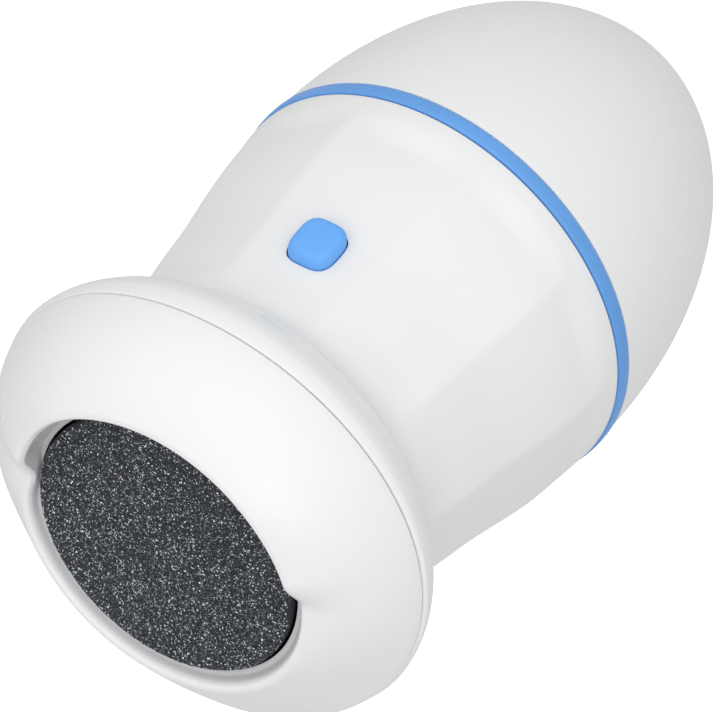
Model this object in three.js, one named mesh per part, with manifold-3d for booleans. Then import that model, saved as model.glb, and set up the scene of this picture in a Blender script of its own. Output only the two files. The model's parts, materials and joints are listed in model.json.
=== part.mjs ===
// Electric callus remover: an egg-shaped, rechargeable hand piece with a spinning abrasive disc in a
// removable cap, and a fan behind the disc that draws the dust into a tray.
//
// Millimetres, +Z up. The origin is the middle of the flat on the tail that the hand piece stands on.
// The disc faces +Z and the power button faces -Y.

import * as THREE from "three";
import { mergeVertices } from "three/addons/utils/BufferGeometryUtils.js";
import Module from "manifold-3d";

const wasm = await Module();
wasm.setup();

// ---------------------------------------------------------------- driving dimensions

const WALL = 2.2;
const GAP = 0.3;
const OVERCUT = 1;
const MERGE_DISTANCE = 1e-4;
const ROUND_SEGMENTS = 40;
const DISC_SEGMENTS = 32;
const INNER_SEGMENTS = 24;
const SMALL_SEGMENTS = 16;
const SCREW_SEGMENTS = 8;
const CORNER_SEGMENTS = 4;

// rear housing: half an ellipsoid, cut flat where it stands
const EGG_CENTRE = 53;
const EGG_RADIUS = 36.5;
const EGG_LENGTH = 57;
const EGG_STEPS = 8;
const STAND_RADIUS = 13;
const STAND_EDGE = 0.25;

// accent ring between the two housings
const RING_REAR = 52.75;
const RING_HEIGHT = 2.75;
const RING_RADIUS = 36.9;
const RING_CROWN = 0.25;
const RING_FRONT = RING_REAR + RING_HEIGHT;

// grip: ten soft facets, one of them centred on the button
const FACETS = 10;
const FACET_DEPTH = 0.5;
const FACET_START = 58;
const FACET_FULL = 64;
const FACET_FADE = 94;
const FACET_END = 101;

// flare and cap; the seam between them rises on the button side and dips at the sides
const SEAM = 116.9;
const SEAM_WAVE = 1.2;
const SEAM_RADIUS = 40.2;

// rim of the cap, above the edge of the disc: raised on the button side, where it falls slowly from the
// middle, and then steps down to the low far side; angles are from the button side
const DISC_EDGE = 128.7;
const RIM_LOW = 0.4;
const RIM_RAISED = 5.2;
const RIM_FALL = 1.2;
const RIM_FALL_START = 36;
const RIM_FALL_END = 74;
const RIM_STEP_START = 71.5;
const RIM_STEP_END = 87.5;
const RIM_RADIUS = 25.9;
const RIM_FLARE = 1;
const RIM_FLARE_START = 34;
const RIM_FLARE_END = 70;
const RIM_LIP = 1.9;

// below the step, the lip swells towards the disc, more on one side than on the other
const SWELL_ANGLE = 86;
const SWELL_WIDTH = 11;
const SWELL_LEFT = 1.3;
const SWELL_RIGHT = 0.15;

// the face of the cap takes up the step only near the rim
const FACE_STEP_START = 52;
const FACE_STEP_END = 112;
const FACE_STEP_POWER = 4;

// spinning disc
const DISC_RADIUS = 24;
const DISC_CROWN = 1.6;

// power button; its face leans with the grip
const BUTTON_HEIGHT = 87;
const BUTTON_WIDTH = 8;
const BUTTON_LENGTH = 8.6;
const BUTTON_CORNER = 2.8;
const BUTTON_PROUD = 2;
const BUTTON_SLOPE = 0.15;
const GRIP_FACE_AT_BUTTON = 32.1;

// motor
const MOTOR_RADIUS = 12.1;
const MOTOR_FRONT = 92.9;
const MOTOR_REAR = 62.4;
const SHAFT_RADIUS = 1.15;
const SHAFT_TOP = 119.4;

// cell
const CELL_RADIUS = 9.2;
const CELL_BOTTOM = 5;
const CELL_LENGTH = 48.6;

// chassis plate at the ring
const CHASSIS_TOP = 58.2;
const CHASSIS_PLATE = 2;
const CHASSIS_RADIUS = 33.5;

// ---------------------------------------------------------------- materials

const WHITE_SHELL = { color: 0xf0f0f0, roughness: 0.28, metalness: 0 };
const BLUE_PLASTIC = { color: 0x62a0e4, roughness: 0.35, metalness: 0 };
const DARK_GRIT = { color: 0x464b52, roughness: 0.85, metalness: 0.1 };
const DARK_PLASTIC = { color: 0x2c2e31, roughness: 0.55, metalness: 0 };
const GREY_PLASTIC = { color: 0x9a9da1, roughness: 0.5, metalness: 0 };
const FOAM = { color: 0x3c3f44, roughness: 1, metalness: 0 };
const STEEL = { color: 0xb8bbbf, roughness: 0.3, metalness: 1 };
const BRASS = { color: 0xc9a14a, roughness: 0.35, metalness: 1 };
const COPPER = { color: 0xb87044, roughness: 0.35, metalness: 1 };
const MAGNET_GREY = { color: 0x3a3a3d, roughness: 0.7, metalness: 0.3 };
const BOARD_GREEN = { color: 0x1f6b3a, roughness: 0.5, metalness: 0 };
const CELL_SLEEVE = { color: 0x2f7fb8, roughness: 0.4, metalness: 0 };
const SEAL_RUBBER = { color: 0x8d9299, roughness: 0.8, metalness: 0 };
const LIGHT_LENS = { color: 0xff5a3c, roughness: 0.2, metalness: 0 };
const LEAD_RED = { color: 0xc02a25, roughness: 0.5, metalness: 0 };
const LEAD_BLACK = { color: 0x1b1b1d, roughness: 0.5, metalness: 0 };

// ---------------------------------------------------------------- helpers

const part = new THREE.Group();
part.name = "electric_callus_remover";

function add(name, geometry, finish) {
  const mesh = new THREE.Mesh(geometry, new THREE.MeshStandardMaterial(finish));
  mesh.name = name;
  part.add(mesh);
  return mesh;
}

// A copy with shared vertices merged and no triangle that has closed up on the axis.
function welded(geometry) {
  const bare = geometry.clone();
  bare.deleteAttribute("normal");
  bare.deleteAttribute("uv");
  const merged = mergeVertices(bare, MERGE_DISTANCE);
  const source = merged.index.array;
  const kept = [];
  for (let i = 0; i < source.length; i += 3) {
    const [a, b, c] = [source[i], source[i + 1], source[i + 2]];
    if (a !== b && b !== c && c !== a) {
      kept.push(a, b, c);
    }
  }
  merged.setIndex(kept);
  return merged;
}

function toManifold(geometry) {
  const merged = welded(geometry);
  const mesh = new wasm.Mesh({
    numProp: 3,
    vertProperties: new Float32Array(merged.attributes.position.array),
    triVerts: new Uint32Array(merged.index.array),
  });
  return new wasm.Manifold(mesh);
}

function toGeometry(manifold) {
  const mesh = manifold.getMesh();
  const geometry = new THREE.BufferGeometry();
  geometry.setAttribute("position", new THREE.BufferAttribute(mesh.vertProperties, 3));
  geometry.setIndex(new THREE.BufferAttribute(mesh.triVerts, 1));
  return geometry;
}

function joined(base, others) {
  return toGeometry(others.reduce((sum, other) => sum.add(toManifold(other)), toManifold(base)));
}

function carved(base, cutters) {
  return toGeometry(cutters.reduce((rest, cutter) => rest.subtract(toManifold(cutter)), toManifold(base)));
}

// Copies of a piece at equal steps round the Z axis.
function ringOf(count, makePiece) {
  const pieces = [];
  for (let i = 0; i < count; i += 1) {
    pieces.push(makePiece().rotateZ((i / count) * 2 * Math.PI));
  }
  return pieces;
}

// A profile of [radius, height] pairs turned about the Z axis. Angle 0 is on -Y and angle 90 on +X.
function turned(profile, segments = ROUND_SEGMENTS) {
  const points = profile.map(([radius, height]) => new THREE.Vector2(radius, height));
  return new THREE.LatheGeometry(points, segments).rotateX(Math.PI / 2);
}

// The same, with a profile that changes with the angle from -Y (in degrees).
function turnedByAngle(profileAt, segments = ROUND_SEGMENTS) {
  const count = profileAt(0).length;
  const geometry = new THREE.LatheGeometry(
    profileAt(0).map(([radius, height]) => new THREE.Vector2(radius, height)),
    segments,
  );
  const position = geometry.attributes.position;
  for (let i = 0; i <= segments; i += 1) {
    const turn = i === segments ? 0 : i / segments;
    const angle = turn * 2 * Math.PI;
    profileAt(turn * 360).forEach(([radius, height], j) => {
      position.setXYZ(i * count + j, radius * Math.sin(angle), -radius * Math.cos(angle), height);
    });
  }
  return geometry;
}

function rod(radius, bottom, top, x = 0, y = 0, segments = SMALL_SEGMENTS) {
  return new THREE.CylinderGeometry(radius, radius, top - bottom, segments)
    .rotateX(Math.PI / 2)
    .translate(x, y, (top + bottom) / 2);
}

function tube(inner, outer, bottom, top, segments = SMALL_SEGMENTS) {
  return turned([[inner, bottom], [outer, bottom], [outer, top], [inner, top], [inner, bottom]], segments);
}

function block(width, depth, height, x, y, z) {
  return new THREE.BoxGeometry(width, depth, height).translate(x, y, z);
}

// A rounded rectangle in the XZ plane, extruded towards +Y from the given depth.
function roundedPlug(width, length, corner, front, back, height) {
  const w = width / 2;
  const l = length / 2;
  const outline = new THREE.Shape();
  outline.moveTo(-w + corner, -l);
  outline.lineTo(w - corner, -l);
  outline.absarc(w - corner, -l + corner, corner, -Math.PI / 2, 0);
  outline.absarc(w - corner, l - corner, corner, 0, Math.PI / 2);
  outline.absarc(-w + corner, l - corner, corner, Math.PI / 2, Math.PI);
  outline.absarc(-w + corner, -l + corner, corner, Math.PI, 1.5 * Math.PI);
  const options = { depth: back - front, bevelEnabled: false, curveSegments: CORNER_SEGMENTS };
  return new THREE.ExtrudeGeometry(outline, options)
    .rotateX(Math.PI / 2)
    .translate(0, back, height);
}

const radians = THREE.MathUtils.degToRad;

// The point at a radius and an angle from -Y.
function around(radius, degrees) {
  return [radius * Math.sin(radians(degrees)), -radius * Math.cos(radians(degrees))];
}

function smooth(value, low, high) {
  return THREE.MathUtils.smoothstep(value, low, high);
}

// ---------------------------------------------------------------- outer surfaces

// Radius of the egg-shaped rear at a height.
function eggRadius(height, inset = 0) {
  const along = (EGG_CENTRE - height) / (EGG_LENGTH - inset);
  return (EGG_RADIUS - inset) * Math.sqrt(1 - along * along);
}

// Outline of the grip, the neck and the flare, from the ring to the seam.
const BODY_CURVE = new THREE.CatmullRomCurve3(
  [
    [36.6, 55.85],
    [36.4, 62],
    [35.9, 69],
    [34.6, 77],
    [33.4, 84],
    [32.5, 91],
    [31.2, 97],
    [30.3, 101],
    [31.7, 104],
    [35.4, 107],
    [38.4, 110],
    [40.2, 113.3],
    [40.6, 115],
  ].map(([radius, height]) => new THREE.Vector3(radius, 0, height)),
  false,
  "centripetal",
);
const BODY_STEPS = 14;

// How much of the straight-sided decagon shows at a height.
function facetShare(height) {
  const rise = smooth(height, FACET_START, FACET_FULL);
  const fade = 1 - smooth(height, FACET_FADE, FACET_END);
  return FACET_DEPTH * rise * fade;
}

function facetFactor(degrees, height) {
  const facet = 360 / FACETS;
  const offset = radians(degrees - facet * Math.round(degrees / facet));
  const straight = Math.cos(radians(facet / 2)) / Math.cos(offset);
  return 1 - facetShare(height) * (1 - straight);
}

function seamHeight(degrees) {
  return SEAM + SEAM_WAVE * Math.cos(2 * radians(degrees));
}

// The angle from the button side, up to half a turn.
function offFront(degrees) {
  return Math.abs(degrees > 180 ? degrees - 360 : degrees);
}

function rimTop(degrees) {
  const away = offFront(degrees);
  const raised = RIM_RAISED - RIM_FALL * smooth(away, RIM_FALL_START, RIM_FALL_END);
  const share = 1 - smooth(away, RIM_STEP_START, RIM_STEP_END);
  return DISC_EDGE + RIM_LOW + (raised - RIM_LOW) * share;
}

function rimRadius(degrees) {
  const away = offFront(degrees);
  const flare = RIM_FLARE * (1 - smooth(away, RIM_FLARE_START, RIM_FLARE_END));
  const swell = Math.exp(-(((away - SWELL_ANGLE) / SWELL_WIDTH) ** 2));
  return RIM_RADIUS + flare - (degrees < 180 ? SWELL_LEFT : SWELL_RIGHT) * swell;
}

// ---------------------------------------------------------------- rear housing and ring

const REAR_TOP = RING_REAR - GAP;
const BOSS_ANGLES = [60, 180, 300];
const BOSS_PLACE = 27.5;
const BOSS_RADIUS = 3;
const BOSS_BOTTOM = 40;
const BOSS_TOP = CHASSIS_TOP - CHASSIS_PLATE - GAP;
const BOSS_BORE = 1.4;
const BOSS_BORE_BOTTOM = 46;
const GUSSET_TOP = 48;
const GUSSET_REACH = 34.2;
const GUSSET_THICKNESS = 1.6;
const FLOOR_HEIGHT = 2.4;

function eggOutline(inset, bottom, top) {
  const length = EGG_LENGTH - inset;
  const from = Math.asin((EGG_CENTRE - bottom) / length);
  const to = Math.asin((EGG_CENTRE - top) / length);
  const points = [];
  for (let i = 0; i <= EGG_STEPS; i += 1) {
    const height = EGG_CENTRE - length * Math.sin(from + ((to - from) * i) / EGG_STEPS);
    points.push([eggRadius(height, inset), height]);
  }
  return points;
}

function rearHousing() {
  const outside = eggOutline(0, STAND_EDGE, REAR_TOP);
  const inside = eggOutline(WALL, FLOOR_HEIGHT, REAR_TOP).reverse();
  const shell = turned([[0, 0], [STAND_RADIUS, 0], ...outside, ...inside, [0, FLOOR_HEIGHT]]);
  const posts = [];
  const bores = [];
  BOSS_ANGLES.forEach((angle) => {
    const [x, y] = around(BOSS_PLACE, angle);
    posts.push(rod(BOSS_RADIUS, BOSS_BOTTOM, BOSS_TOP, x, y, SCREW_SEGMENTS));
    const gusset = block(
      GUSSET_THICKNESS,
      GUSSET_REACH - BOSS_PLACE,
      GUSSET_TOP - BOSS_BOTTOM,
      0,
      -(GUSSET_REACH + BOSS_PLACE) / 2,
      (GUSSET_TOP + BOSS_BOTTOM) / 2,
    );
    posts.push(gusset.rotateZ(radians(angle)));
    bores.push(rod(BOSS_BORE, BOSS_BORE_BOTTOM, BOSS_TOP + OVERCUT, x, y, SCREW_SEGMENTS));
  });
  return carved(joined(shell, posts), bores);
}

add("rear_housing", rearHousing(), WHITE_SHELL);

function accentRing() {
  const bottom = RING_REAR;
  const top = RING_FRONT;
  const inner = RING_RADIUS - WALL - GAP;
  const edge = RING_RADIUS - RING_CROWN;
  return turned([
    [inner, bottom],
    [edge, bottom],
    [RING_RADIUS, bottom + RING_HEIGHT / 3],
    [RING_RADIUS, top - RING_HEIGHT / 3],
    [edge, top],
    [inner, top],
    [inner, bottom],
  ]);
}

add("accent_ring", accentRing(), BLUE_PLASTIC);

// ---------------------------------------------------------------- front housing

const LEDGE_BOTTOM = 95.7;
const LEDGE_TOP = 97.4;
const LEDGE_RADIUS = 23.4;
const LEDGE_CLEAR = 0.5;
const LEDGE_DRAFT = 0.4;
const SEAM_STEP = 0.3;
const FLARE_INNER = 38.2;
const FAN_SCREW_PLACE = 25.4;
const FAN_SCREW_ANGLES = [30, 150, 270];
const SCREW_HOLE = 1.4;
const VENT_COUNT = 5;
const VENT_WIDTH = 1.6;
const VENT_HEIGHT = 3.4;
const VENT_PITCH = 3.4;
const VENT_LEVEL = 100.9;
const VENT_PLACE = 30.5;
const VENT_DEPTH = 10;
const RECESS_OUT = 4;
const RECESS_IN = 6;
const INLET_LEVEL = 63.4;
const INLET_WIDTH = 8.6;
const INLET_HEIGHT = 3.7;
const INLET_CORNER = 1.2;
const INLET_IN = 30;
const INLET_OUT = 40;
const LIGHT_RADIUS = 1;
const LIGHT_PLACE = 8.4;

function bodyOutline() {
  return BODY_CURVE.getPoints(BODY_STEPS).map((point) => [point.x, point.z]);
}

function frontHousingProfile(degrees) {
  const outline = bodyOutline();
  const seam = seamHeight(degrees) - GAP;
  const outside = outline.map(([radius, height]) => [radius * facetFactor(degrees, height), height]);
  const inside = outside
    .filter((point, i) => i % 2 === 0)
    .map(([radius, height]) => [radius - WALL, height])
    .reverse()
    .slice(1);
  const above = inside.filter(([, height]) => height > LEDGE_TOP + LEDGE_CLEAR);
  const below = inside.filter(([, height]) => height < LEDGE_BOTTOM - LEDGE_CLEAR);
  const ledgeWall = below[0][0];
  return [
    ...outside,
    [SEAM_RADIUS, seam],
    [FLARE_INNER, seam],
    ...above,
    [ledgeWall - LEDGE_DRAFT, LEDGE_TOP],
    [LEDGE_RADIUS, LEDGE_TOP],
    [LEDGE_RADIUS, LEDGE_BOTTOM],
    [ledgeWall, LEDGE_BOTTOM],
    ...below,
    outside[0],
  ];
}

function frontHousing() {
  const holes = FAN_SCREW_ANGLES.map((angle) => {
    const [x, y] = around(FAN_SCREW_PLACE, angle);
    return rod(SCREW_HOLE, LEDGE_BOTTOM - OVERCUT, LEDGE_TOP + OVERCUT, x, y, SCREW_SEGMENTS);
  });
  const recess = roundedPlug(
    BUTTON_WIDTH + 2 * GAP,
    BUTTON_LENGTH + 2 * GAP,
    BUTTON_CORNER + GAP,
    -GRIP_FACE_AT_BUTTON - RECESS_OUT,
    -GRIP_FACE_AT_BUTTON + RECESS_IN,
    BUTTON_HEIGHT,
  );
  const inlet = roundedPlug(INLET_WIDTH, INLET_HEIGHT, INLET_CORNER, INLET_IN, INLET_OUT, INLET_LEVEL);
  const lightHole = rod(LIGHT_RADIUS + GAP, INLET_IN, INLET_OUT, 0, 0, SCREW_SEGMENTS)
    .rotateX(-Math.PI / 2)
    .translate(LIGHT_PLACE, 0, INLET_LEVEL);
  const vents = [];
  for (let i = 0; i < VENT_COUNT; i += 1) {
    const x = (i - (VENT_COUNT - 1) / 2) * VENT_PITCH;
    vents.push(block(VENT_WIDTH, VENT_DEPTH, VENT_HEIGHT, x, VENT_PLACE, VENT_LEVEL));
  }
  return carved(turnedByAngle(frontHousingProfile), [...holes, recess, inlet, lightHole, ...vents]);
}

add("front_housing", frontHousing(), WHITE_SHELL);

// ---------------------------------------------------------------- nozzle cap and its seal

const SKIRT_BOTTOM = 111.6;
const SKIRT_OUTER = 36.4;
const SKIRT_WALL = 1.8;
const COLLAR_BOTTOM = 121.6;
const CAP_OUTSIDE_STEPS = 6;
const CAP_INSIDE_STEPS = 3;
const CAP_INSIDE_LOW = 0.3;
const CAP_INSIDE_HIGH = 0.7;
const CAP_INSET = 1.6;
const CAP_BULGE = 2.1;
const CAP_BULGE_FAR = 0.2;
const BULGE_FADE_START = 85;
const BULGE_FADE_END = 130;
const RIM_ROUND = 0.9;
const RIM_CREST = 0.15;
const LIP_RADIUS = 24.45;
const LIP_BOTTOM = 126.6;
const SHELF_LEVEL = 127.4;
const SHELF_RADIUS = 25.4;
const SHELF_WIDTH = 0.1;
const WALL_DRAFT = 0.3;
const COLLAR_RADIUS = 26;
const COLLAR_TOP = 125.7;
const COLLAR_WALL_THICKNESS = 1.6;

// Outer face of the cap, from the seam to the rim, pushed outwards by a bulge.
function capFace(degrees, t) {
  const share = 1 - smooth(offFront(degrees), FACE_STEP_START, FACE_STEP_END);
  const level = DISC_EDGE + RIM_LOW + (RIM_RAISED - RIM_LOW) * share;
  const bottom = new THREE.Vector2(SEAM_RADIUS, seamHeight(degrees) + SEAM_STEP);
  const top = new THREE.Vector2(rimRadius(degrees) + RIM_LIP, level);
  const fade = smooth(offFront(degrees), BULGE_FADE_START, BULGE_FADE_END);
  const bulge = CAP_BULGE + (CAP_BULGE_FAR - CAP_BULGE) * fade;
  const along = top.clone().sub(bottom);
  const outward = new THREE.Vector2(along.y, -along.x).normalize();
  const point = bottom.clone().lerp(top, t);
  point.addScaledVector(outward, bulge * 4 * t * (1 - t));
  return [point.x, point.y + (rimTop(degrees) - level) * t ** FACE_STEP_POWER];
}

function capProfile(degrees) {
  const seam = seamHeight(degrees);
  const outside = [];
  for (let i = 0; i <= CAP_OUTSIDE_STEPS; i += 1) {
    outside.push(capFace(degrees, i / CAP_OUTSIDE_STEPS));
  }
  const rim = rimRadius(degrees);
  const top = rimTop(degrees);
  const shelf = Math.max(LIP_RADIUS + SHELF_WIDTH, Math.min(SHELF_RADIUS, rim - WALL_DRAFT));
  const inside = [];
  for (let i = 0; i <= CAP_INSIDE_STEPS; i += 1) {
    const t = i / CAP_INSIDE_STEPS;
    const [radius, height] = capFace(degrees, CAP_INSIDE_HIGH + (CAP_INSIDE_LOW - CAP_INSIDE_HIGH) * t);
    inside.push([radius - CAP_INSET, height - CAP_INSET]);
  }
  return [
    [SKIRT_OUTER, SKIRT_BOTTOM],
    [SKIRT_OUTER, seam],
    [SEAM_RADIUS - SEAM_STEP, seam],
    ...outside,
    [rim + RIM_LIP / 2, top + RIM_CREST],
    [rim, top - RIM_ROUND],
    [shelf, SHELF_LEVEL],
    [LIP_RADIUS, SHELF_LEVEL],
    [LIP_RADIUS, LIP_BOTTOM],
    [COLLAR_RADIUS, COLLAR_TOP],
    [COLLAR_RADIUS, COLLAR_BOTTOM],
    [COLLAR_RADIUS + COLLAR_WALL_THICKNESS, COLLAR_BOTTOM],
    ...inside,
    [SKIRT_OUTER - SKIRT_WALL, seam + CAP_INSET],
    [SKIRT_OUTER - SKIRT_WALL, SKIRT_BOTTOM],
    [SKIRT_OUTER, SKIRT_BOTTOM],
  ];
}

add("nozzle_cap", turnedByAngle(capProfile), WHITE_SHELL);

const SEAL_RADIUS = 37.1;
const SEAL_THICKNESS = 0.4;
const SEAL_LEVEL = 114.6;
const SEAL_SIDES = 6;

function sealProfile() {
  const points = [];
  for (let i = 0; i <= SEAL_SIDES; i += 1) {
    const angle = (i / SEAL_SIDES) * 2 * Math.PI;
    points.push([
      SEAL_RADIUS + SEAL_THICKNESS * Math.cos(angle),
      SEAL_LEVEL + SEAL_THICKNESS * Math.sin(angle),
    ]);
  }
  return points;
}

add("cap_seal", turned(sealProfile(), DISC_SEGMENTS), SEAL_RUBBER);

// ---------------------------------------------------------------- spinning disc

const BACKING_RADIUS = 23.2;
const BACKING_BOTTOM = 123.2;
const BACKING_TOP = 126;
const SOCKET_OUTER = 7.8;
const SOCKET_INNER = 5.6;
const SOCKET_BOTTOM = 113.6;
const SOCKET_CEILING = 121.6;
const BACKING_CHAMFER = 1;
const BACKING_RIBS = 6;
const RIB_WIDTH = 1.4;
const RIB_LENGTH = 13;
const RIB_HEIGHT = 3.2;
const RIB_PLACE = 13.3;
const RIB_LEVEL = 121.8;

function discBacking() {
  const plate = turned([
    [0, SOCKET_CEILING],
    [SOCKET_INNER, SOCKET_CEILING],
    [SOCKET_INNER, SOCKET_BOTTOM],
    [SOCKET_OUTER, SOCKET_BOTTOM],
    [SOCKET_OUTER, BACKING_BOTTOM],
    [BACKING_RADIUS - BACKING_CHAMFER, BACKING_BOTTOM],
    [BACKING_RADIUS, BACKING_BOTTOM + BACKING_CHAMFER],
    [BACKING_RADIUS, BACKING_TOP],
    [0, BACKING_TOP],
  ], DISC_SEGMENTS);
  const rib = () => block(RIB_WIDTH, RIB_LENGTH, RIB_HEIGHT, 0, -RIB_PLACE, RIB_LEVEL);
  return joined(plate, ringOf(BACKING_RIBS, rib));
}

add("disc_backing", discBacking(), DARK_PLASTIC);

const DISC_CHAMFER = 0.8;
const DISC_EDGE_ROUND = 0.5;
const DISC_FACE_STEPS = 5;

function abrasiveDisc() {
  const bottom = BACKING_TOP + GAP;
  const faceRadius = DISC_RADIUS - DISC_EDGE_ROUND;
  const points = [
    [0, bottom],
    [DISC_RADIUS - DISC_CHAMFER, bottom],
    [DISC_RADIUS, bottom + DISC_CHAMFER],
    [DISC_RADIUS, DISC_EDGE - DISC_EDGE_ROUND],
  ];
  for (let i = 0; i <= DISC_FACE_STEPS; i += 1) {
    const share = 1 - i / DISC_FACE_STEPS;
    points.push([faceRadius * share, DISC_EDGE + DISC_CROWN * (1 - share * share)]);
  }
  return turned(points, DISC_SEGMENTS);
}

add("abrasive_disc", abrasiveDisc(), DARK_GRIT);

// ---------------------------------------------------------------- spindle: shaft, hub, fan, rotor

const SHAFT_BOTTOM = 61.9;

add("motor_shaft", rod(SHAFT_RADIUS, SHAFT_BOTTOM, SHAFT_TOP, 0, 0, SCREW_SEGMENTS), STEEL);

const BORE = SHAFT_RADIUS + GAP;
const HUB_SIDES = 6;
const HUB_RADIUS = 5;
const HUB_BOTTOM = 112;
const HUB_TOP = 121;
const HUB_CHAMFER = 1;
const SPLINE_WIDTH = 1.4;
const SPLINE_DEPTH = 0.9;
const SPLINE_LENGTH = 7;
const SPLINE_PLACE = 4.85;
const SPLINE_LEVEL = 115.9;

function driveHub() {
  const body = turned([
    [0, SHAFT_TOP + GAP],
    [BORE, SHAFT_TOP + GAP],
    [BORE, HUB_BOTTOM],
    [HUB_RADIUS, HUB_BOTTOM],
    [HUB_RADIUS, HUB_TOP - HUB_CHAMFER],
    [HUB_RADIUS - HUB_CHAMFER, HUB_TOP],
    [0, HUB_TOP],
  ], HUB_SIDES * 2);
  const spline = () => block(SPLINE_WIDTH, SPLINE_DEPTH, SPLINE_LENGTH, 0, -SPLINE_PLACE, SPLINE_LEVEL);
  return joined(body, ringOf(HUB_SIDES, spline));
}

add("drive_hub", driveHub(), GREY_PLASTIC);

const FAN_RADIUS = 19.4;
const FAN_BOTTOM = 98.4;
const FAN_DECK = 99.4;
const FAN_TOP = 103;
const FAN_HUB = 4;
const FAN_BLADES = 9;
const FAN_HUB_TOP = 104;
const BLADE_SWEEP = 18;
const BLADE_PIVOT = 12;
const BLADE_THICKNESS = 1;
const BLADE_LENGTH = 12.4;
const BLADE_ROOT = 0.4;

function fanImpeller() {
  const body = turned([
    [BORE, FAN_BOTTOM],
    [FAN_RADIUS, FAN_BOTTOM],
    [FAN_RADIUS, FAN_DECK],
    [FAN_HUB, FAN_DECK],
    [FAN_HUB, FAN_HUB_TOP],
    [BORE, FAN_HUB_TOP],
    [BORE, FAN_BOTTOM],
  ], INNER_SEGMENTS);
  const blade = () => block(
    BLADE_THICKNESS,
    BLADE_LENGTH,
    FAN_TOP - FAN_DECK + BLADE_ROOT,
    0,
    0,
    (FAN_TOP + FAN_DECK - BLADE_ROOT) / 2,
  ).rotateZ(radians(BLADE_SWEEP)).translate(0, -BLADE_PIVOT, 0);
  return joined(body, ringOf(FAN_BLADES, blade));
}

add("fan_impeller", fanImpeller(), GREY_PLASTIC);

const ROTOR_RADIUS = 9;
const ROTOR_BOTTOM = 69;
const ROTOR_TOP = 85;
const ROTOR_POLES = 3;
const POLE_GAP = 1.2;
const POLE_DEPTH = 6;
const COMMUTATOR_RADIUS = 2.6;
const COMMUTATOR_BOTTOM = 65.2;

function rotorCore() {
  const height = ROTOR_TOP - ROTOR_BOTTOM + 2 * OVERCUT;
  const slot = () => block(POLE_GAP, POLE_DEPTH, height, 0, -ROTOR_RADIUS, (ROTOR_TOP + ROTOR_BOTTOM) / 2);
  return carved(tube(BORE, ROTOR_RADIUS, ROTOR_BOTTOM, ROTOR_TOP), ringOf(ROTOR_POLES, slot));
}

add("motor_rotor", rotorCore(), STEEL);
add(
  "commutator",
  tube(BORE, COMMUTATOR_RADIUS, COMMUTATOR_BOTTOM, ROTOR_BOTTOM - GAP, SCREW_SEGMENTS),
  COPPER,
);

// ---------------------------------------------------------------- motor

const CAN_WALL = 0.9;
const CAN_FRONT_WALL = 1.2;
const CAN_CHAMFER = 0.6;
const BUSHING_RADIUS = 3;
const BUSHING_LENGTH = 4.2;
const BUSHING_PROUD = 1.2;
const MOTOR_SCREW_PLACE = 8;
const MOTOR_SCREW_HOLE = 1.3;

function motorCan() {
  const inner = MOTOR_RADIUS - CAN_WALL;
  const shell = turned([
    [BUSHING_RADIUS + GAP, MOTOR_FRONT - CAN_FRONT_WALL],
    [inner, MOTOR_FRONT - CAN_FRONT_WALL],
    [inner, MOTOR_REAR],
    [MOTOR_RADIUS, MOTOR_REAR],
    [MOTOR_RADIUS, MOTOR_FRONT - CAN_CHAMFER],
    [MOTOR_RADIUS - CAN_CHAMFER, MOTOR_FRONT],
    [BUSHING_RADIUS + GAP, MOTOR_FRONT],
    [BUSHING_RADIUS + GAP, MOTOR_FRONT - CAN_FRONT_WALL],
  ], INNER_SEGMENTS);
  const low = MOTOR_FRONT - CAN_FRONT_WALL - OVERCUT;
  const high = MOTOR_FRONT + OVERCUT;
  const holes = [-1, 1].map((side) =>
    rod(MOTOR_SCREW_HOLE, low, high, side * MOTOR_SCREW_PLACE, 0, SCREW_SEGMENTS));
  return carved(shell, holes);
}

add("motor_can", motorCan(), STEEL);

const BUSHING_TOP = MOTOR_FRONT + BUSHING_PROUD;

add("front_bushing", tube(BORE, BUSHING_RADIUS, BUSHING_TOP - BUSHING_LENGTH, BUSHING_TOP), BRASS);

const END_CAP_BOTTOM = 60.4;
const END_CAP_PLUG_TOP = 63.6;
const END_CAP_POCKET = 3.2;
const END_CAP_FLOOR = 61.3;
const REAR_BUSHING_RADIUS = 2.9;
const REAR_BUSHING_BOTTOM = 61.6;
const TERMINAL_PLACE = 6;
const TERMINAL_THICKNESS = 0.5;
const TERMINAL_WIDTH = 2.4;
const TERMINAL_BOTTOM = 57.2;

// A flat terminal, or with a clearance the slot that it stands in.
function terminal(side, clearance, bottom, top) {
  const width = TERMINAL_THICKNESS + 2 * clearance;
  const depth = TERMINAL_WIDTH + 2 * clearance;
  return block(width, depth, top - bottom, side * TERMINAL_PLACE, 0, (top + bottom) / 2);
}

function motorEndCap() {
  const body = turned([
    [0, END_CAP_BOTTOM],
    [MOTOR_RADIUS, END_CAP_BOTTOM],
    [MOTOR_RADIUS, MOTOR_REAR - GAP],
    [MOTOR_RADIUS - CAN_WALL - GAP, MOTOR_REAR - GAP],
    [MOTOR_RADIUS - CAN_WALL - GAP, END_CAP_PLUG_TOP],
    [END_CAP_POCKET, END_CAP_PLUG_TOP],
    [END_CAP_POCKET, END_CAP_FLOOR],
    [0, END_CAP_FLOOR],
  ], INNER_SEGMENTS);
  const slots = [-1, 1].map((side) =>
    terminal(side, GAP, END_CAP_BOTTOM - OVERCUT, END_CAP_PLUG_TOP + OVERCUT));
  return carved(body, slots);
}

add("motor_end_cap", motorEndCap(), DARK_PLASTIC);
add("rear_bushing", tube(BORE, REAR_BUSHING_RADIUS, REAR_BUSHING_BOTTOM, END_CAP_PLUG_TOP), BRASS);
[["motor_terminal_left", 1], ["motor_terminal_right", -1]].forEach(([name, side]) => {
  add(name, terminal(side, 0, TERMINAL_BOTTOM, END_CAP_PLUG_TOP), BRASS);
});

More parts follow.
